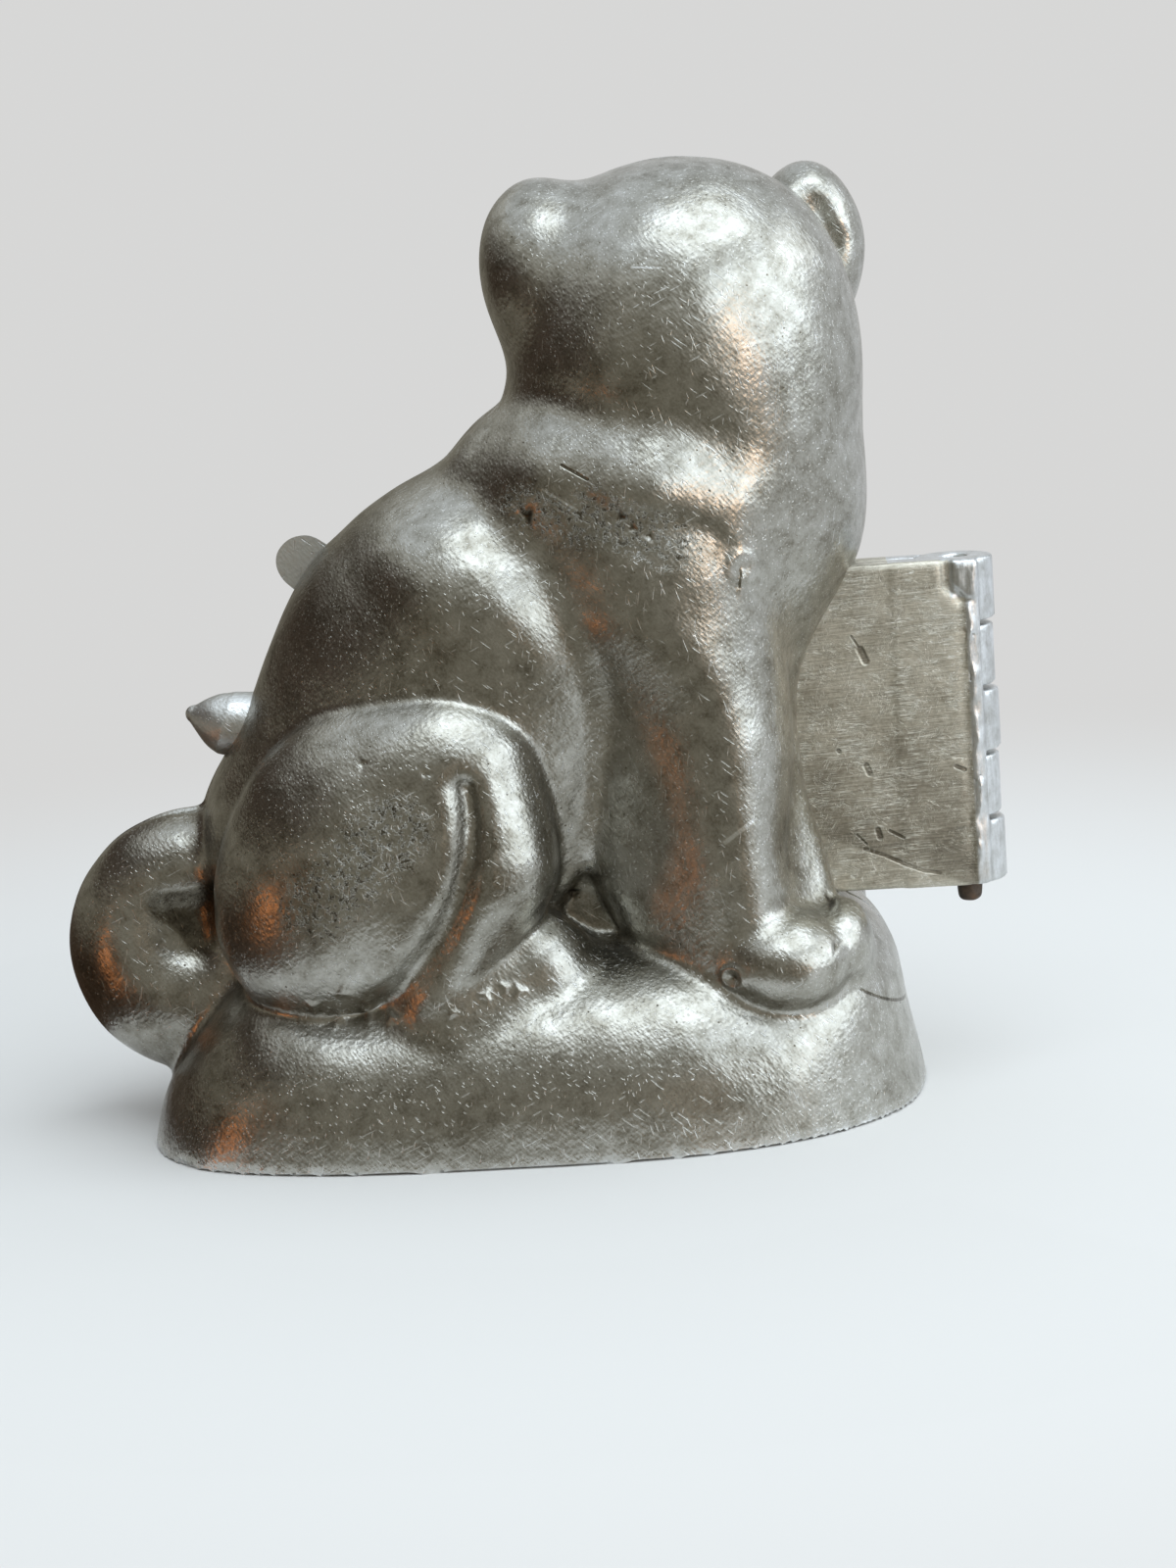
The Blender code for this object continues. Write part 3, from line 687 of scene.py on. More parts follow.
def add_piece(name, bm, material, body, sharp_angle=50.0):
    """An object from a bmesh in millimetres. It stands for the node of its name."""
    bm.transform(Matrix.Scale(MM, 4))
    bmesh.ops.recalc_face_normals(bm, faces=bm.faces)
    mesh = bpy.data.meshes.new(name)
    bm.to_mesh(mesh)
    bm.free()
    mesh.shade_smooth()
    mesh.set_sharp_from_angle(angle=math.radians(sharp_angle))
    mesh.materials.append(material)
    piece = linked(name + "_finish", mesh)
    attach(piece, body)
    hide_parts(name)
    return piece


HOLLOW_REACH = 3.0
RIDGE_REACH = 1.4
CREASE_REACH = 0.8
NEAR_CUTS = 2


def finished_outside():
    """The dog's outside as one closed mesh, with its marks and waves, and how hollow or ridged each place
    is.
    """
    low, counts = grid_of(*node_box_of_shells(), CELL)
    points, quads = surface_net(field_values(figure, low, counts, CELL), low, CELL)
    bm = bmesh_of(points, quads)
    bm.verts.ensure_lookup_table()
    near = near_marks(places_of(bm))
    edges = {e for v, close in zip(bm.verts, near) if close for f in v.link_faces for e in f.edges}
    bmesh.ops.subdivide_edges(bm, edges=list(edges), cuts=NEAR_CUTS, use_grid_fill=True)
    points = settle(figure, places_of(bm))
    way = normals(figure, points)

    hollow = 1 - figure(*(points + HOLLOW_REACH * way).T) / HOLLOW_REACH
    crease = 1 - figure(*(points + CREASE_REACH * way).T) / CREASE_REACH
    ridge = 1 + figure(*(points - RIDGE_REACH * way).T) / RIDGE_REACH
    mark = marks(points) + front_step(points)
    raised = points + way * (mark + waves(points))[:, None]
    layers = {"hollow": hollow, "crease": crease, "ridge": ridge, "mark": mark, "inside": 0 * mark}
    for name, value in layers.items():
        layer = bm.verts.layers.float.new(name)
        for vertex, number in zip(bm.verts, value.tolist()):
            vertex[layer] = number
    for vertex, place in zip(bm.verts, raised.tolist()):
        vertex.co = place
        vertex.co.z = max(vertex.co.z, 0.0)
    return bm


def node_box_of_shells():
    boxes = [node_box("back_shell"), node_box("front_shell")]
    return np.min([b[0] for b in boxes], axis=0), np.max([b[1] for b in boxes], axis=0)


def finished_hollow():
    """The hollow, one wall inside the outside. Nothing in it is undercut: it only narrows outwards."""
    low, counts = grid_of(*node_box_of_shells(), HOLLOW_CELL)
    low[1] = -HOLLOW_CELL * round(-low[1] / HOLLOW_CELL)
    axes = [l + HOLLOW_CELL * np.arange(n) for l, n in zip(low, counts)]
    x, y, z = np.meshgrid(*axes, indexing="ij")
    value = figure(x, y, z) + WALL
    middle = int(np.argmin(np.abs(axes[1])))
    for outwards in (slice(middle, None), slice(middle, None, -1)):
        value[:, outwards] = np.maximum.accumulate(value[:, outwards], axis=1)
    value = np.maximum(value, WALL - z)
    return surface_net(value, low, HOLLOW_CELL)


def build_shell(name, side, outside, hollow, material, body):
    """One half: its outside, a narrow bevel along the seam, the flat rim and the hollow."""
    bm = outside.copy()
    keep_side(bm, (0, side * EDGE_BEVEL, 0), (0, side, 0))
    bm.normal_update()
    ring = open_edges(bm)
    bevel = bmesh.ops.extrude_edge_only(bm, edges=ring)["geom"]
    for vertex in (v for v in bevel if isinstance(v, bmesh.types.BMVert)):
        near = next(e.other_vert(vertex) for e in vertex.link_edges if e.other_vert(vertex) not in bevel)
        inwards = Vector((near.normal.x, 0, near.normal.z))
        vertex.co -= inwards.normalized() * EDGE_INSET
        vertex.co.y = side * PARTING_GAP / 2

    room = bmesh_of(*hollow)
    inside = room.verts.layers.float.new("inside")
    for vertex in room.verts:
        vertex[inside] = 1.0
    keep_side(room, (0, side * PARTING_GAP / 2, 0), (0, side, 0))
    drawn = bpy.data.meshes.new("room")
    room.to_mesh(drawn)
    room.free()
    bm.from_mesh(drawn)
    bpy.data.meshes.remove(drawn)
    close_cut(bm, (0, -side, 0))
    return add_piece(name, bm, material, body)


# The hinge's leaves

PITCH = (PLATE_TOP - PLATE_BOTTOM) / KNUCKLE_COUNT
BEAD_SWAY = ((0.14, 1.1, 0.0), (0.07, 2.7, 1.0))
BEAD_SWELLING = ((0.2, 1.1, 0.0), (0.14, 2.9, 0.0))
BEAD_LEAST = 0.8
BEAD_KINK = 0.35
BEAD_KINK_Z = 28.0
NOTCH_FADE = 0.3
NOTCH_BEND = (1.5, 1.6)
CORNER_INSET = 0.4
CORNER_FADES = (0.3, 0.4)
CORNER_LIFT = 0.3
CORNER_STREAKS = (0.1, 5.5, 1.3)
DENT_SEED = 3
DENT_COUNT = 8
DENT_LENGTHS = (0.6, 2.2)
DENT_SCALE = 9.0
DENT_SHARE = 3
BACK_DENT_HEIGHT = 0.045
FRONT_DENT_HEIGHT = 0.03


def round_box(place, low, high, edge):
    """Distance to a box with rounded edges."""
    beyond = [np.abs(p - (a + b) / 2) - (b - a) / 2 + edge for p, a, b in zip(place, low, high)]
    outside = np.sqrt(sum(np.maximum(b, 0) ** 2 for b in beyond))
    return outside + np.minimum(np.maximum(np.maximum(beyond[0], beyond[1]), beyond[2]), 0) - edge


def rows(first):
    """Heights of every second knuckle from the first."""
    starts = [PLATE_BOTTOM + PITCH * i for i in range(first, KNUCKLE_COUNT, 2)]
    return [(start, start + PITCH) for start in starts]


def barrels(place, radius, spans, edge):
    """Upright round barrels on the hinge's axis, one for each span of height."""
    x, y, z = place
    away = np.hypot(x - HINGE_X, y) - radius
    found = np.full(np.shape(x), np.inf)
    for bottom, top in spans:
        found = np.minimum(found, common(away, np.abs(z - (bottom + top) / 2) - (top - bottom) / 2, edge))
    return found


def shortened(spans):
    """Spans less the saw cuts, but not at the leaf's own two ends."""
    cut = []
    for bottom, top in spans:
        low = bottom + SAW_CUT / 2 if bottom > PLATE_BOTTOM + PITCH / 2 else PLATE_BOTTOM
        high = top - SAW_CUT / 2 if top < PLATE_TOP - PITCH / 2 else PLATE_TOP
        cut.append((low, high))
    return cut


def lengthened(spans):
    return [(bottom - SAW_CUT / 2, top + SAW_CUT / 2) for bottom, top in spans]


def dents(x, z, height):
    """Slow unevenness of a cast face."""
    chance = np.random.default_rng(DENT_SEED)
    total = 0 * x
    for _ in range(DENT_COUNT):
        turn = chance.uniform(0, math.pi)
        length = chance.uniform(*DENT_LENGTHS) * DENT_SCALE
        along = x * math.cos(turn) + z * math.sin(turn)
        total = total + np.sin(along * math.tau / length + chance.uniform(0, math.tau))
    return height * total / DENT_SHARE


def ripple(z, parts):
    """The sum of ripples along a line, each being (height, rate, start)."""
    return sum(height * np.sin(z * rate + start) for height, rate, start in parts)


def bead_line(z):
    """Where the raised bead along the knuckles runs, a little crooked as it was left by the tool."""
    share = (z - PLATE_BOTTOM) / (PLATE_TOP - PLATE_BOTTOM)
    crooked = ripple(z, BEAD_SWAY) - BEAD_KINK * np.clip(BEAD_KINK_Z - z, 0, 1)
    return BEAD_X - BEAD_BOW * share**2 + crooked


def back_face_lift(x, z):
    """How far the back leaf's face stands out: bead, notch, streaked corner and dents."""
    height = BEAD_HEIGHT * (BEAD_LEAST + ripple(z, BEAD_SWELLING))
    below_notch = np.clip((NOTCH_FOOT + NOTCH_FADE - z) / (2 * NOTCH_FADE), 0, 1)
    lift = height * np.exp(-(((x - bead_line(z)) / BEAD_WIDTH) ** 2)) * below_notch
    bend = (NOTCH_X, NOTCH_FOOT + NOTCH_BEND[1])
    away, _ = line_distance(x, z, ((NOTCH_X, PLATE_TOP + 1), bend, (NOTCH_X + NOTCH_BEND[0], NOTCH_FOOT)))
    lift = lift - NOTCH_DEPTH * np.exp(-((away / NOTCH_WIDTH) ** 2))
    corner = np.clip((x - NOTCH_X - CORNER_INSET) / CORNER_FADES[0], 0, 1)
    corner = corner * np.clip((z - NOTCH_FOOT) / CORNER_FADES[1], 0, 1)
    size, along, upwards = CORNER_STREAKS
    lift = lift + corner * (CORNER_LIFT + size * np.sin(x * along) * np.sin(z * upwards + x))
    return lift + dents(x, z, BACK_DENT_HEIGHT)


def leaf_slab(place, face_y, side):
    """A leaf's slab from inside the shell's wall out to the hinge's axis."""
    low_y, high_y = sorted((side * PARTING_GAP / 2, side * face_y))
    return round_box(place, (LEAF_ROOT_X, low_y, PLATE_BOTTOM), (HINGE_X, high_y, PLATE_TOP), LEAF_EDGE)


def back_leaf(x, y, z):
    lift = np.where(y < -HOOD_THICKNESS, back_face_lift(x, z), 0.0)
    place = (x, y + lift, z)
    slab = leaf_slab(place, BACK_FACE, -1)
    hood_low = (LEAF_SEAM_X, -BACK_FACE, PLATE_BOTTOM)
    hood_high = (HINGE_X + HOOD_REACH, -BACK_FACE + HOOD_THICKNESS, PLATE_TOP)
    leaf = fillet(slab, round_box(place, hood_low, hood_high, LEAF_EDGE), HOOD_FILLET)
    pockets = barrels(place, FRONT_KNUCKLE_RADIUS + KNUCKLE_CLEARANCE, lengthened(rows(1)), POCKET_EDGE)
    leaf = np.maximum(leaf, -pockets)
    leaf = np.minimum(leaf, barrels((x, y, z), BACK_KNUCKLE_RADIUS, shortened(rows(0)), KNUCKLE_EDGE))
    return bored((x, y, z), leaf)


def front_leaf(x, y, z):
    place = (x, y, z)
    slab = leaf_slab((x, y + dents(x, z, FRONT_DENT_HEIGHT), z), FRONT_FACE, 1)
    pockets = barrels(place, BACK_KNUCKLE_RADIUS + KNUCKLE_CLEARANCE, lengthened(rows(0)), POCKET_EDGE)
    leaf = np.maximum(slab, -pockets)
    leaf = np.minimum(leaf, barrels(place, FRONT_KNUCKLE_RADIUS, shortened(rows(1)), KNUCKLE_EDGE))
    return bored(place, leaf)


def bored(place, leaf):
    """The leaf with the pin's bore through it, rooted just inside the shell's wall."""
    x, y, z = place
    leaf = np.maximum(leaf, PIN_RADIUS + PIN_CLEARANCE - np.hypot(x - HINGE_X, y))
    return np.maximum(leaf, -figure(x, y, z) - LEAF_SINK)


def build_leaf(half, field, filed, cast, body):
    """The filed plate and the strip of knuckles of one half, cut from one form so that their faces meet."""
    reach = BACK_KNUCKLE_RADIUS + KNUCKLE_ROOM
    low = (LEAF_ROOT_X, -reach, PLATE_BOTTOM)
    high = (HINGE_X + reach, reach, PLATE_TOP)
    plate = bmesh_of(*net_of(field, low, high, LEAF_CELL))
    strip = plate.copy()
    for part, way in ((plate, -1), (strip, 1)):
        keep_side(part, (LEAF_SEAM_X, 0, 0), (way, 0, 0))
        close_cut(part, (-way, 0, 0))
    add_piece(half + "_hinge_plate", plate, filed, body, LEAF_SHARP_ANGLE)
    add_piece(half + "_knuckle_strip", strip, cast, body, LEAF_SHARP_ANGLE)


# Lugs and pin

BACK_LUG = run_of_limbs((-27.0, 0.6, 40.6, 3.5), (-30.6, 0.8, 41.0, 2.7), (-33.9, 0.7, 42.2, 0.75))
FRONT_LUG = run_of_limbs((-18.4, 0.2, 54.2, 3.0), (-21.4, 0.0, 56.8, 2.8))
LUG_FILLET = 2.0
LUG_INSET = 0.06
LUG_SINK = 0.8
LUG_ROOM = 1.0
LUG_WAVES = 3
LUG_WAVE_SHARE = 0.5
LUG_WEAR = 1.0
PIN_END = 0.9
PIN_WAVES = 5


def build_lug(name, forms, side, seam, material, body):
    """A lump of metal on the dog's back, flat on the parting plane."""
    def field(x, y, z):
        return np.maximum(joined((x, np.abs(y), z), forms, LUG_FILLET), -figure(x, y, z) - LUG_SINK)

    corners = np.array([form.start for form in forms] + [form.end for form in forms])
    reach = max(form.start_radius for form in forms) + LUG_ROOM
    low, high = corners.min(axis=0) - reach, corners.max(axis=0) + reach
    low[1], high[1] = -reach, reach
    points, quads = net_of(field, low, high, SMALL_CELL)
    points = settle(field, points)
    points = points + normals(field, points) * (waves(points * LUG_WAVES) * LUG_WAVE_SHARE)[:, None]
    bm = bmesh_of(points, quads)
    keep_side(bm, (0, side * seam, 0), (0, side, 0))
    close_cut(bm, (0, -side, 0))
    ridge = bm.verts.layers.float.new("ridge")
    for vertex in bm.verts:
        vertex[ridge] = LUG_WEAR
    return add_piece(name, bm, material, body)


def build_pin(material, body):
    bottom, top = PIN[0][2], PIN[1][2]

    def field(x, y, z):
        away = np.hypot(x - HINGE_X, y) - PIN_RADIUS
        return common(away, np.abs(z - (bottom + top) / 2) - (top - bottom) / 2, PIN_END)

    points, quads = net_of(field, *PIN, SMALL_CELL)
    points = settle(field, points)
    points = points - normals(field, points) * np.abs(waves(points * PIN_WAVES))[:, None]
    return add_piece("hinge_pin", bmesh_of(points, quads), material, body)


# Metals

FLAKE_STRETCH = (1.0, 1.6, 2.4)
FLAKE_SMOOTHNESS = 0.15
SCRATCH_CORE = 0.4
DASH_CORE = 0.5
GAP_TURN = 40
GAP_SPAN = (0.5, 0.6)
BACK_HALF_SPAN = (-1.0, -2.0)


class NodeTree:
    """Shader nodes in the making. Each method adds nodes and hands back their output."""

    def __init__(self, tree):
        self.nodes = tree.nodes
        self.links = tree.links

    def feed(self, socket, value):
        if isinstance(value, bpy.types.NodeSocket):
            self.links.new(value, socket)
        else:
            socket.default_value = value

    def vector(self, operation, a, b=(0, 0, 0), scale=1.0):
        node = self.nodes.new("ShaderNodeVectorMath")
        node.operation = operation
        self.feed(node.inputs[0], a)
        if operation == "SCALE":
            node.inputs["Scale"].default_value = scale
        elif operation not in ("LENGTH", "NORMALIZE"):
            self.feed(node.inputs[1], b)
        return node.outputs["Value" if operation in ("LENGTH", "DOT_PRODUCT") else "Vector"]

    def math(self, operation, *values):
        node = self.nodes.new("ShaderNodeMath")
        node.operation = operation
        for socket, value in zip(node.inputs, values):
            self.feed(socket, value)
        return node.outputs[0]

    def total(self, base, *terms):
        """The base plus each (weight, value)."""
        for weight, value in terms:
            base = self.math("MULTIPLY_ADD", value, weight, base)
        return base

    def step(self, value, low, high):
        """Nought at low, one at high, and smooth between. Low may be the greater of the two."""
        node = self.nodes.new("ShaderNodeMapRange")
        node.interpolation_type = "SMOOTHSTEP"
        self.feed(node.inputs["Value"], value)
        node.inputs["From Min"].default_value = low
        node.inputs["From Max"].default_value = high
        return node.outputs["Result"]

    def mix(self, share, a, b):
        node = self.nodes.new("ShaderNodeMix")
        node.data_type = "RGBA"
        self.feed(node.inputs[0], share)
        for socket, value in zip(node.inputs[6:8], (a, b)):
            self.feed(socket, value if isinstance(value, bpy.types.NodeSocket) else (*value, 1.0))
        return node.outputs[2]


class Paint(NodeTree):
    """The nodes of one material, which reads its places in millimetres."""

    def __init__(self, name):
        self.material = bpy.data.materials.new(name)
        self.material.use_nodes = True
        super().__init__(self.material.node_tree)
        self.shader = self.nodes["Principled BSDF"]
        self.shader.inputs["Metallic"].default_value = 1.0
        place = self.nodes.new("ShaderNodeTexCoord").outputs["Object"]
        self.place = self.vector("SCALE", place, scale=1 / MM)

    def attribute(self, name):
        node = self.nodes.new("ShaderNodeAttribute")
        node.attribute_name = name
        return node.outputs["Fac"]

    def axis(self, number):
        node = self.nodes.new("ShaderNodeSeparateXYZ")
        self.feed(node.inputs[0], self.place)
        return node.outputs[number]

    def turned(self, degrees, stretch):
        """Places turned in the X-Z plane, then stretched."""
        node = self.nodes.new("ShaderNodeVectorRotate")
        node.rotation_type = "Y_AXIS"
        self.feed(node.inputs["Vector"], self.place)
        node.inputs["Angle"].default_value = math.radians(degrees)
        return self.vector("MULTIPLY", node.outputs["Vector"], stretch)

    def level_way(self):
        """The level direction from the middle to a place."""
        return self.vector("NORMALIZE", self.vector("MULTIPLY", self.place, (1.0, 1.0, 0.0)))

    def texture(self, kind, place, **inputs):
        """A texture node that reads the places."""
        node = self.nodes.new("ShaderNodeTex" + kind)
        self.feed(node.inputs["Vector"], place)
        for name, value in inputs.items():
            node.inputs[name].default_value = value
        return node

    def noise(self, scale, detail, roughness, place=None, distortion=0.0):
        place = self.place if place is None else place
        inputs = {"Scale": scale, "Detail": detail, "Roughness": roughness, "Distortion": distortion}
        return self.texture("Noise", place, **inputs).outputs["Fac"]

    def swing(self, *settings, **more):
        """Noise about nought."""
        return self.math("SUBTRACT", self.noise(*settings, **more), 0.5)

    def most(self, values):
        """The greatest of some values, none of them below nought."""
        greatest = 0.0
        for value in values:
            greatest = self.math("MAXIMUM", greatest, value)
        return greatest

    def creases(self, scale, distortion):
        """A crumpled surface, sharply folded where the noise is at its middle."""
        return self.math("ABSOLUTE", self.swing(scale, 1.0, 0.5, distortion=distortion))

    def flakes(self, degrees, scale):
        """Small long scars side by side, sunk at their middles."""
        node = self.texture("Voronoi", self.turned(degrees, FLAKE_STRETCH), Scale=scale)
        node.feature = "SMOOTH_F1"
        node.inputs["Smoothness"].default_value = FLAKE_SMOOTHNESS
        return node.outputs["Distance"]

    def specks(self, scale, size):
        """Small round specks, one at their middle and nought outside."""
        node = self.texture("Voronoi", self.place, Scale=scale)
        return self.step(node.outputs["Distance"], size, 0.0)

    def scratches(self, degrees, along, across, width, gaps):
        """Fine broken lines in one direction."""
        field = self.swing(1.0, 1.5, 0.5, self.turned(degrees, (along, across, across)))
        line = self.step(self.math("ABSOLUTE", field), width, 0.0)
        kept = self.noise(gaps, 2.0, 0.5, self.turned(degrees + GAP_TURN, (1, 1, 1)))
        return self.math("MULTIPLY", line, self.step(kept, *GAP_SPAN))

    def dashes(self, degrees, stretch, size):
        """Short fine scratches, all of them in one direction."""
        node = self.texture("Voronoi", self.turned(degrees, stretch), Scale=1.0)
        return self.step(node.outputs["Distance"], size, size * DASH_CORE)

    def segment(self, start, end, width):
        """One at a straight scratch on the back half between two (x, z) places."""
        x, y, z = (self.axis(i) for i in range(3))
        run_x, run_z = end[0] - start[0], end[1] - start[1]
        length_squared = run_x**2 + run_z**2
        base = -(start[0] * run_x + start[1] * run_z) / length_squared
        share = self.total(base, (run_x / length_squared, x), (run_z / length_squared, z))
        share = self.math("MINIMUM", self.math("MAXIMUM", share, 0.0), 1.0)
        off_x = self.total(-start[0], (1.0, x), (-run_x, share))
        off_z = self.total(-start[1], (1.0, z), (-run_z, share))
        away = self.math("SQRT", self.total(self.math("MULTIPLY", off_x, off_x), (off_z, off_z)))
        near = self.step(away, width, width * SCRATCH_CORE)
        return self.math("MULTIPLY", near, self.step(y, *BACK_HALF_SPAN))

    def segments(self, places):
        """One at each (start, end, width) scratch."""
        return self.most(self.segment(*place) for place in places)

    def blend(self, share, a, b):
        """A number between a and b."""
        return self.math("MULTIPLY_ADD", share, self.math("SUBTRACT", b, a), a)

    def ramp(self, value, *stops):
        """A colour for each value, from (value, colour) stops."""
        node = self.nodes.new("ShaderNodeValToRGB")
        elements = node.color_ramp.elements
        for index, (position, colour) in enumerate(stops):
            stop = elements[index] if index < 2 else elements.new(position)
            stop.position = position
            stop.color = (*colour, 1.0)
        self.feed(node.inputs["Fac"], value)
        return node.outputs["Color"]

    def glow(self, colour):
        """A surface that shines in this colour."""
        node = self.nodes.new("ShaderNodeEmission")
        self.feed(node.inputs["Color"], colour)
        return node.outputs[0]

    def finish(self, colour, roughness, height):
        """Height is in millimetres."""
        bump = self.nodes.new("ShaderNodeBump")
        bump.inputs["Distance"].default_value = MM
        self.feed(bump.inputs["Height"], height)
        self.feed(self.shader.inputs["Base Color"], colour)
        self.feed(self.shader.inputs["Roughness"], roughness)
        self.feed(self.shader.inputs["Normal"], bump.outputs["Normal"])
        return self.material


BRIGHT_SCRATCHES = (
    ((4.2, 64.2), (7.4, 62.1), 0.16), ((14.1, 84.7), (16.9, 84.5), 0.14), ((19.6, 29.3), (22.4, 31.2), 0.3),
    ((1.0, 62.7), (2.1, 61.5), 0.2),
)
DARK_SCRATCHES = (((6.2, 66.4), (8.6, 65.0), 0.22), ((32.0, 12.8), (36.6, 9.4), 0.16))
STAINS = (
    ((9.0, 61.8), (16.0, 58.6), 3.6), ((2.0, 62.5), (7.0, 60.5), 3.2), ((-12.0, 33.0), (-20.0, 26.0), 5.0),
)
DASH_SIZE = 0.16
LONG_DASH = (0.13, 2.0, 2.0)
SHORT_DASH = (0.16, 2.2, 2.2)
DASHES = ((25, LONG_DASH), (-38, SHORT_DASH), (80, SHORT_DASH), (140, SHORT_DASH), (-72, SHORT_DASH))


def worn_pewter():
    """Old cast pewter: dark in hollows, rubbed bright on ridges, mottled, speckled and scratched, and
    brighter along the parting seam, partly rubbed metal and partly a painted highlight.
    """
    paint = Paint("worn_pewter_finish")
    clouds = paint.swing(0.085, 3.0, 0.5)
    mottle = paint.swing(0.5, 7.0, 0.62, distortion=0.3)
    crumple = paint.noise(1.2, 2.0, 0.5)
    creases = paint.creases(0.8, 1.4)
    flakes = paint.math("ADD", paint.flakes(35, 1.0), paint.flakes(-50, 1.4))
    grain = paint.swing(4.0, 4.0, 0.6)
    uneven = paint.noise(0.4, 1.0, 0.5)
    hollow = paint.step(paint.attribute("hollow"), 0.05, 0.9)
    crease = paint.step(paint.attribute("crease"), 0.2, 0.9)
    ridge = paint.step(paint.attribute("ridge"), 0.12, 0.6)
    scuffed = paint.step(paint.attribute("ridge"), 0.7, 1.0)
    pitted = paint.step(paint.math("MULTIPLY", paint.attribute("mark"), -1.0), 0.06, 0.24)
    inside = paint.attribute("inside")
    # Brighter along the parting seam: rubbed metal, and a painted highlight where the seam's edge catches
    # the light.
    rim = paint.step(paint.math("ABSOLUTE", paint.axis(1)), 0.9, 0.4)

    lines = paint.most(paint.dashes(turn, stretch, DASH_SIZE) for turn, stretch in DASHES)
    bright = paint.most([paint.math("MULTIPLY", lines, 0.8), paint.segments(BRIGHT_SCRATCHES)])
    blotches = paint.step(paint.noise(1.9, 5.0, 0.7), 0.52, 0.6)
    stained = paint.math("MULTIPLY", blotches, paint.segments(STAINS))
    faint = paint.math("MULTIPLY", paint.most([paint.specks(0.75, 0.11), stained]), 0.8)
    dark = paint.most([pitted, faint, paint.segments(DARK_SCRATCHES)])

    # Through rim, the sum below also holds the painted highlight along the seam.
    tone = paint.total(
        0.53, (0.85, mottle), (0.4, clouds), (0.4, grain), (-0.1, hollow), (-0.08, crease), (0.2, ridge),
        (0.4, bright), (-0.4, dark), (-0.12, inside), (0.16, rim), (0.25, scuffed),
    )
    colour = paint.ramp(
        tone, (0.0, (0.05, 0.042, 0.03)), (0.3, (0.19, 0.175, 0.14)), (0.5, (0.355, 0.342, 0.3)),
        (0.72, (0.5, 0.49, 0.45)), (1.0, (0.68, 0.69, 0.68)),
    )
    roughness = paint.total(
        0.3, (0.1, grain), (-0.15, mottle), (0.06, hollow), (-0.05, ridge), (0.1, inside), (0.2, scuffed),
    )
    height = paint.total(
        0.0, (0.05, uneven), (0.018, crumple), (0.02, creases), (0.022, flakes), (0.001, grain),
        (-0.02, lines), (-0.05, dark),
    )
    return paint.finish(colour, roughness, height)


PLATE_PITS = (
    ((34.0, 45.0), (34.5, 43.8), 0.5), ((34.0, 33.2), (34.3, 32.4), 0.42),
    ((34.8, 26.6), (35.0, 25.8), 0.4), ((36.0, 26.4), (37.4, 25.6), 0.22),
    ((31.3, 34.9), (31.4, 34.8), 0.3), ((33.2, 46.4), (33.9, 45.2), 0.16),
    ((32.7, 26.2), (33.6, 25.2), 0.16), ((43.0, 32.6), (43.8, 32.2), 0.3),
)
PLATE_CRACK = ((33.4, 24.7), (35.4, 23.9), (37.3, 22.9), (39.2, 22.1), (40.8, 21.8))
CRACK_WIDTH = 0.3
CRACK_FALL = 0.4
CRACK_LEVEL = 38.0
# Height from which the plate above its crack is painted darker down to its bottom, a painted shade.
FACET_SHADE_FROM = 44.0
FILED_FADE = 0.35
FACE_SPAN = (-3.4, -3.6)
LONG_SCRATCH = (0.22, 5.0, 0.03, 0.4)
SHORT_SCRATCH = (0.5, 4.0, 0.016, 0.5)
FILE_SCRATCHES = ((3, LONG_SCRATCH), (-30, SHORT_SCRATCH), (62, SHORT_SCRATCH), (100, SHORT_SCRATCH))
CORNER_START = 0.2


class FiledFace(NamedTuple):
    """What shows on a filed face: its colour, from wear and a painted shade, its roughness and its height
    in millimetres.
    """
    colour: object
    roughness: object
    height: object


def filed_face(paint):
    """A flat face dressed with a file: matt beige, with fine level strokes, pits and a crack, and a painted
    shade above the crack that darkens towards the bottom.
    """
    mottle = paint.swing(0.22, 5.0, 0.6)
    grain = paint.swing(3.0, 4.0, 0.65)
    strokes = paint.swing(1.0, 4.0, 0.6, paint.turned(4, (0.28, 1.0, 5.0)))
    fine = paint.swing(1.0, 3.0, 0.6, paint.turned(-3, (0.6, 1.0, 11.0)))
    lines = paint.most(paint.scratches(turn, *form) for turn, form in FILE_SCRATCHES)
    dark = paint.segments(PLATE_PITS)
    crack = paint.segments((start, end, CRACK_WIDTH) for start, end in zip(PLATE_CRACK, PLATE_CRACK[1:]))
    x, z = paint.axis(0), paint.axis(2)
    # Painted shade: above the crack the plate darkens towards the bottom, so the facet below the crack
    # stays lighter, a painted light on that facet.
    above_crack = paint.step(paint.total(-CRACK_LEVEL, (CRACK_FALL, x), (1.0, z)), -0.4, 0.2)
    painted_facet_shade = paint.math("MULTIPLY", above_crack, paint.step(z, FACET_SHADE_FROM, PLATE_BOTTOM))
    # The sum below holds wear, grain, pits and the crack, and the painted facet shade.
    tone = paint.total(
        0.5, (0.6, mottle), (0.4, grain), (0.55, strokes), (0.35, fine), (0.3, lines), (-0.3, dark),
        (-0.22, crack), (-0.22, painted_facet_shade),
    )
    colour = paint.ramp(
        tone, (0.0, (0.14, 0.12, 0.09)), (0.35, (0.38, 0.35, 0.285)), (0.6, (0.62, 0.585, 0.495)),
        (1.0, (0.86, 0.84, 0.79)),
    )
    roughness = paint.total(0.46, (0.2, grain), (-0.1, lines))
    height = paint.total(
        0.0, (0.045, strokes), (0.018, fine), (0.04, mottle), (0.012, grain), (-0.03, lines), (-0.14, dark),
        (-0.06, crack),
    )
    return FiledFace(colour, roughness, height)


def filed_pewter():
    paint = Paint("filed_pewter_finish")
    return paint.finish(*filed_face(paint))


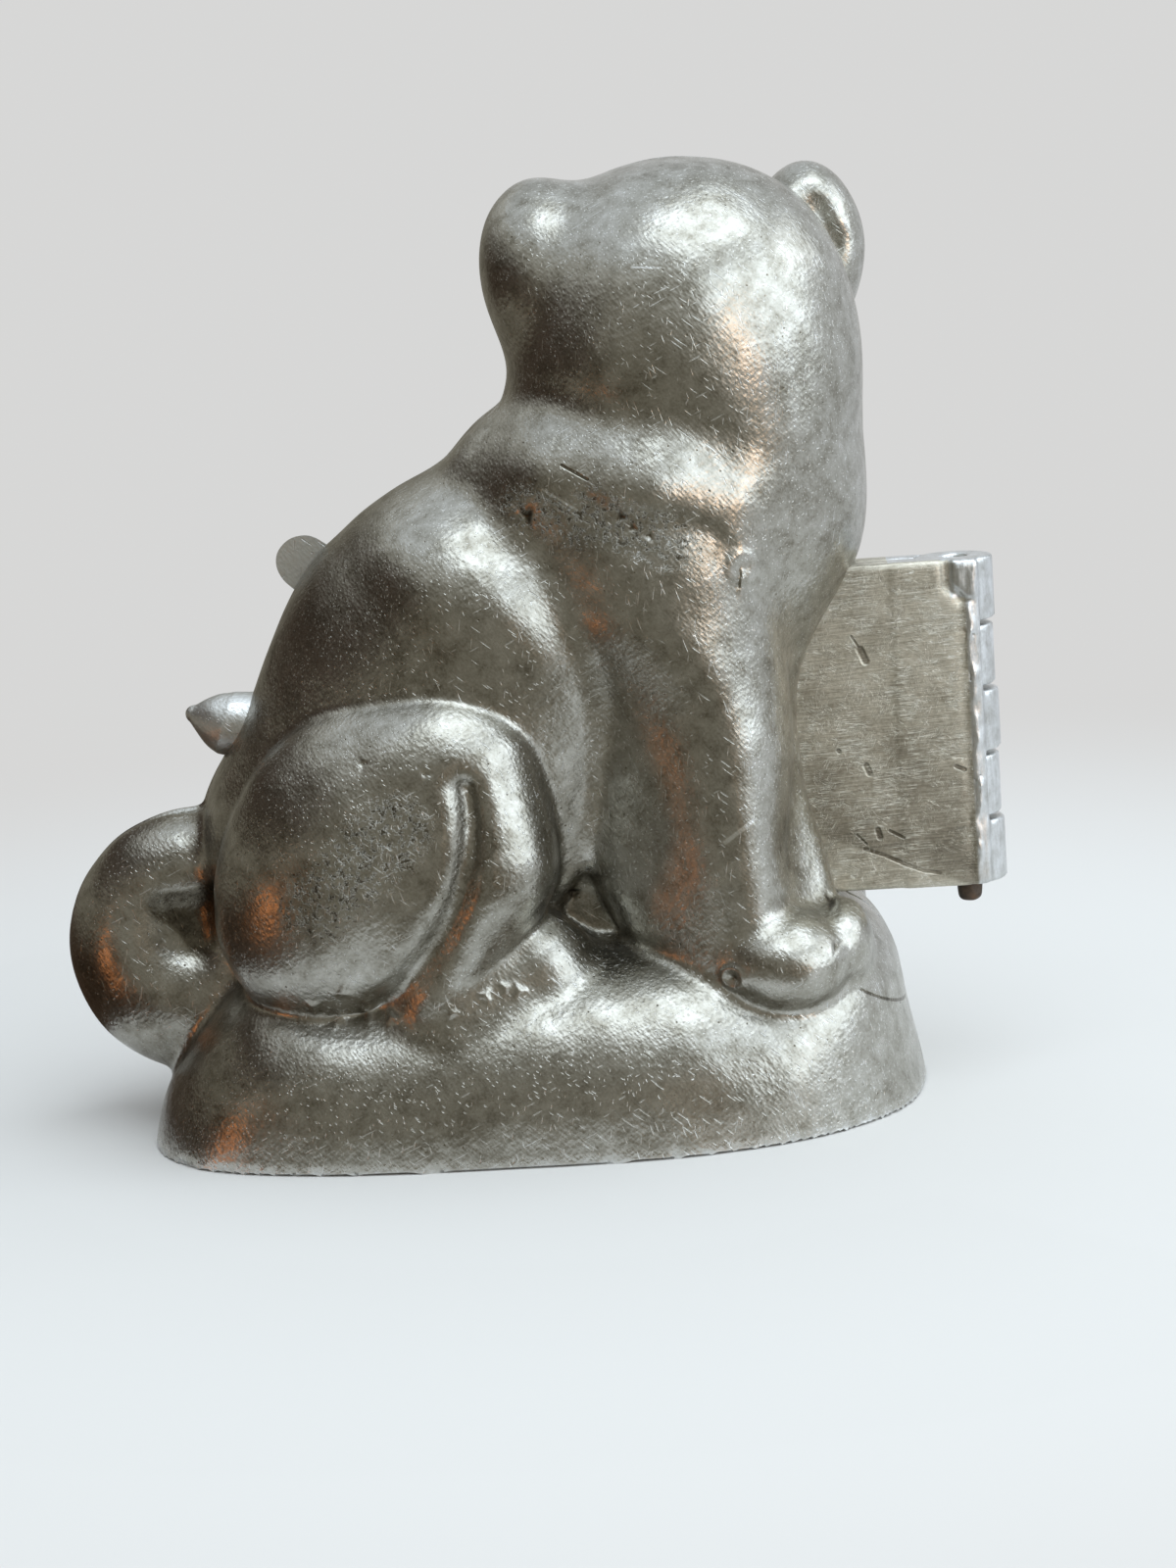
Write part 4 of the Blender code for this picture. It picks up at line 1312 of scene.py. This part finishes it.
def cast_knuckle_pewter():
    """Bright metal of a second pour. Up to its bead it was filed with the plate."""
    paint = Paint("cast_knuckle_pewter_finish")
    mottle = paint.swing(0.6, 6.0, 0.6)
    grain = paint.swing(3.5, 4.0, 0.7)
    streaks = paint.swing(1.0, 4.0, 0.6, paint.turned(0, (3.0, 2.0, 0.5)))
    x, y, z = (paint.axis(i) for i in range(3))
    beside_bead = paint.step(x, FILED_TO, FILED_TO - FILED_FADE)
    on_face = paint.math("MULTIPLY", beside_bead, paint.step(y, *FACE_SPAN))
    past_notch = paint.step(x, NOTCH_X + CORNER_START, NOTCH_X + CORNER_START + CORNER_FADES[0])
    above_notch = paint.step(z, NOTCH_FOOT, NOTCH_FOOT + CORNER_FADES[1])
    corner = paint.math("MULTIPLY", past_notch, above_notch)
    filed = paint.math("MULTIPLY", on_face, paint.math("SUBTRACT", 1.0, corner))
    tone = paint.total(0.6, (0.8, mottle), (0.3, grain), (0.5, streaks))
    bright = paint.ramp(
        tone, (0.0, (0.16, 0.15, 0.13)), (0.4, (0.46, 0.46, 0.44)), (0.7, (0.7, 0.715, 0.72)),
        (1.0, (0.86, 0.88, 0.9)),
    )
    face = filed_face(paint)
    colour = paint.mix(filed, bright, face.colour)
    roughness = paint.blend(filed, paint.total(0.34, (0.2, grain)), face.roughness)
    cast_height = paint.total(0.0, (0.06, mottle), (0.04, streaks), (0.012, grain))
    height = paint.blend(filed, cast_height, face.height)
    return paint.finish(colour, roughness, height)


IRON_METALLIC = 0.55


def dark_iron():
    """Iron, brown with old rust."""
    paint = Paint("dark_iron_finish")
    rust = paint.noise(0.9, 6.0, 0.65)
    grain = paint.noise(5.0, 4.0, 0.7)
    colour = paint.ramp(
        rust, (0.3, (0.035, 0.028, 0.024)), (0.55, (0.085, 0.06, 0.042)), (0.75, (0.15, 0.085, 0.045)),
    )
    paint.shader.inputs["Metallic"].default_value = IRON_METALLIC
    roughness = paint.total(0.3, (0.4, rust))
    return paint.finish(colour, roughness, paint.total(0.0, (0.08, rust), (0.03, grain)))


# Floor, light and camera

FLOOR_REACH = 6.0
FLOOR_COLOUR = (0.64, 0.625, 0.6)
FLOOR_ROUGHNESS = 0.9
FLOOR_SHINE = 0.2
PALE_SIDE = (0.68, 0.68, 0.675)
DIM_SIDE = (0.28, 0.27, 0.235)
BRIGHT_SIDE = (0.76, 0.8, 0.84)
OVERHEAD = (0.84, 0.91, 0.98)
PALE_WAY = (0.5, 0.87, 0.0)
PALE_SPAN = (-0.7, 0.3)
BRIGHT_WAY = (0.96, 0.28, 0.0)
BRIGHT_SPAN = (0.45, 0.85)
OVERHEAD_SPAN = (0.15, 0.85)
FADE_START = 0.08
FADE_END = 0.24

CARD_RADIUS = 105.0
MAT_RADIUS = 56.0
MAT_HEIGHT = 0.4
CARD_SPAN = (102.0, 312.0)
CARD_HEIGHT_TURNS = (102.0, 280.0, 312.0)
CARD_HEIGHTS = (180.0, 165.0, 45.0)
CARD_STEPS = 48
CARD_DARK = (0.05, 0.03, 0.018)
CARD_DIM = (0.25, 0.235, 0.19)
CARD_TOP = (0.62, 0.63, 0.6)
CARD_FADE = (0.5, 0.9)
CARD_DIM_SPAN = (-0.92, -0.5)
CARD_BAND = ((16.0, 30.0), (45.0, 62.0))
GLOW_COLOUR = (3.4, 1.25, 0.42)
GLOW_PLACE = (-90.0, -55.0, 11.0)
GLOW_SHAPE = (1.0, 1.0, 0.5)
GLOW_REACH = 9.5


class Lamp(NamedTuple):
    """A soft rectangular lamp that faces the mould, with the brightness of its face."""
    name: str
    way: tuple
    distance: float
    size: tuple
    brightness: float
    colour: tuple


LAMPS = (
    Lamp("window_light", (0.75, -0.56, 0.36), 0.9, (1.4, 0.6), 2.05, (0.8, 0.91, 1.0)),
    Lamp("top_light", (0.25, -0.22, 0.94), 0.9, (1.0, 0.66), 2.3, (0.82, 0.92, 1.0)),
    Lamp("side_light", (0.83, 0.2, 0.52), 0.9, (0.5, 0.4), 1.3, (0.86, 0.94, 1.0)),
    Lamp("warm_light", (0.6, -0.8, 0.04), 0.88, (0.08, 0.3), 6.5, (1.0, 0.6, 0.32)),
)


def add_staged(mesh, paint, surface):
    """An object of the surroundings, which shows this surface of the paint's nodes."""
    paint.feed(paint.nodes["Material Output"].inputs["Surface"], surface)
    mesh.materials.append(paint.material)
    thing = linked(mesh.name, mesh)
    return thing


def add_floor():
    """A pale floor that fades into the pale distance and keeps the mould's shadow."""
    corners = [(-1, -1, 0), (1, -1, 0), (1, 1, 0), (-1, 1, 0)]
    mesh = mesh_of("floor", np.array(corners) * FLOOR_REACH / MM, [(0, 1, 2, 3)])
    paint = Paint("pale_floor")
    paint.shader.inputs["Metallic"].default_value = 0.0
    paint.shader.inputs["Roughness"].default_value = FLOOR_ROUGHNESS
    paint.shader.inputs["Specular IOR Level"].default_value = FLOOR_SHINE
    paint.shader.inputs["Base Color"].default_value = (*FLOOR_COLOUR, 1.0)
    rays = paint.nodes.new("ShaderNodeLightPath")
    seen = paint.math("MAXIMUM", rays.outputs["Is Camera Ray"], rays.outputs["Is Glossy Ray"])
    seen = paint.math("MAXIMUM", seen, rays.outputs["Is Transmission Ray"])
    far = paint.step(paint.vector("LENGTH", paint.place), FADE_START / MM, FADE_END / MM)
    both = paint.nodes.new("ShaderNodeMixShader")
    paint.feed(both.inputs[0], paint.math("MULTIPLY", seen, far))
    paint.feed(both.inputs[1], paint.shader.outputs[0])
    paint.feed(both.inputs[2], paint.glow(side_colour(paint, paint.level_way())))
    add_staged(mesh, paint, both.outputs[0])


def side_colour(nodes, way):
    """The surroundings in a level direction: pale to look at, but mirrored as dim or bright sides."""
    pale = nodes.step(nodes.vector("DOT_PRODUCT", way, PALE_WAY), *PALE_SPAN)
    bright = nodes.step(nodes.vector("DOT_PRODUCT", way, BRIGHT_WAY), *BRIGHT_SPAN)
    mirrored = nodes.mix(bright, nodes.mix(pale, DIM_SIDE, PALE_SIDE), BRIGHT_SIDE)
    rays = nodes.nodes.new("ShaderNodeLightPath")
    return nodes.mix(rays.outputs["Is Camera Ray"], mirrored, PALE_SIDE)


def light_world():
    """Bright overhead, so that the metal has something to mirror."""
    world = bpy.data.worlds.new("studio")
    bpy.context.scene.world = world
    world.use_nodes = True
    sky = NodeTree(world.node_tree)
    way = sky.nodes.new("ShaderNodeTexCoord").outputs["Generated"]
    split = sky.nodes.new("ShaderNodeSeparateXYZ")
    sky.feed(split.inputs[0], way)
    overhead = sky.step(split.outputs["Z"], *OVERHEAD_SPAN)
    sky.feed(sky.nodes["Background"].inputs["Color"], sky.mix(overhead, side_colour(sky, way), OVERHEAD))


def add_card():
    """A dark mat and card round the tail's side, with a small warm glow. Only mirrored rays see them."""
    degrees = np.linspace(*CARD_SPAN, CARD_STEPS)
    turns = np.radians(degrees)
    way = np.stack([np.cos(turns), np.sin(turns), 0 * turns], axis=1)
    mat = way * MAT_RADIUS + (0, 0, MAT_HEIGHT)
    foot = way * CARD_RADIUS + (0, 0, MAT_HEIGHT)
    top = way * CARD_RADIUS
    top[:, 2] = np.interp(degrees, CARD_HEIGHT_TURNS, CARD_HEIGHTS)
    first = [row * CARD_STEPS + i for row in range(2) for i in range(CARD_STEPS - 1)]
    faces = [(i, i + 1, i + 1 + CARD_STEPS, i + CARD_STEPS) for i in first]
    mesh = mesh_of("dark_card", np.concatenate([mat, foot, top]), faces)
    rises = mesh.attributes.new("rise", "FLOAT", "POINT")
    rises.data.foreach_set("value", np.repeat([0.0, 0.0, 1.0], CARD_STEPS))
    paint = Paint("dark_card")
    off = paint.vector("MULTIPLY", paint.vector("SUBTRACT", paint.place, GLOW_PLACE), GLOW_SHAPE)
    away = paint.vector("LENGTH", off)
    turn = paint.vector("DOT_PRODUCT", paint.level_way(), (1.0, 0.0, 0.0))
    rise = paint.axis(2)
    band = paint.math("SUBTRACT", paint.step(rise, *CARD_BAND[0]), paint.step(rise, *CARD_BAND[1]))
    dim = paint.math("MAXIMUM", paint.step(turn, *CARD_DIM_SPAN), band)
    face = paint.mix(dim, CARD_DARK, CARD_DIM)
    face = paint.mix(paint.step(paint.attribute("rise"), *CARD_FADE), face, CARD_TOP)
    shown = paint.mix(paint.step(away, 0.0, GLOW_REACH), GLOW_COLOUR, face)
    card = add_staged(mesh, paint, paint.glow(shown))
    card.visible_camera = card.visible_diffuse = card.visible_shadow = False


def add_lamps():
    centre = (CAD_BOX[0] + CAD_BOX[1]) / 2
    for lamp in LAMPS:
        light = bpy.data.lights.new(lamp.name, "AREA")
        light.shape = "RECTANGLE"
        light.size, light.size_y = lamp.size
        light.color = lamp.colour
        light.energy = math.pi * lamp.size[0] * lamp.size[1] * lamp.brightness
        thing = linked(lamp.name, light)
        way = Vector(lamp.way).normalized()
        thing.location = centre + way * lamp.distance
        thing.rotation_euler = way.to_track_quat("Z", "Y").to_euler()
        thing.visible_camera = False


CAMERA_AZIMUTH = 3.0
CAMERA_ELEVATION = 10.5
CAMERA_ROLL = 4.0
CAMERA_DISTANCE = 360.0
CAMERA_TARGET = (5.75, 0.0, 32.3)
CAMERA_LENS = 81.0
SENSOR_LONG_SIDE = 36.0
CAMERA_CLIP = 0.01


def add_camera():
    camera = bpy.data.cameras.new("camera")
    camera.lens = CAMERA_LENS
    camera.sensor_width = SENSOR_LONG_SIDE
    camera.clip_start = CAMERA_CLIP
    thing = linked("camera", camera)
    azimuth, elevation, roll = (math.radians(a) for a in (CAMERA_AZIMUTH, CAMERA_ELEVATION, CAMERA_ROLL))
    level = Vector((math.cos(azimuth), math.sin(azimuth), 0.0))
    outwards = Vector((math.sin(azimuth), -math.cos(azimuth), 0.0))
    back = outwards * math.cos(elevation) + Vector((0.0, 0.0, math.sin(elevation)))
    upright = back.cross(level)
    right = level * math.cos(roll) - upright * math.sin(roll)
    up = level * math.sin(roll) + upright * math.cos(roll)
    turn = Matrix((right, up, back)).transposed().to_4x4()
    place = (Vector(CAMERA_TARGET) + CAMERA_DISTANCE * back) * MM
    thing.matrix_world = Matrix.Translation(place) @ turn
    bpy.context.scene.camera = thing


def build_scene():
    add_floor()
    light_world()
    add_card()
    add_lamps()
    add_camera()
    bpy.context.scene.view_settings.view_transform = "Standard"

    pewter, filed, cast, iron = worn_pewter(), filed_pewter(), cast_knuckle_pewter(), dark_iron()
    outside, hollow = finished_outside(), finished_hollow()
    build_shell("back_shell", -1, outside, hollow, pewter, "back_half")
    build_shell("front_shell", 1, outside, hollow, pewter, "front_half")
    outside.free()
    build_leaf("back", back_leaf, filed, cast, "back_half")
    build_leaf("front", front_leaf, filed, cast, "front_half")
    lug_seam = PARTING_GAP / 2 + LUG_INSET
    build_lug("back_pry_lug", BACK_LUG, -1, lug_seam, pewter, "back_half")
    build_lug("front_pry_lug", FRONT_LUG, 1, lug_seam, pewter, "front_half")
    build_pin(iron, "back_half")


build_scene()
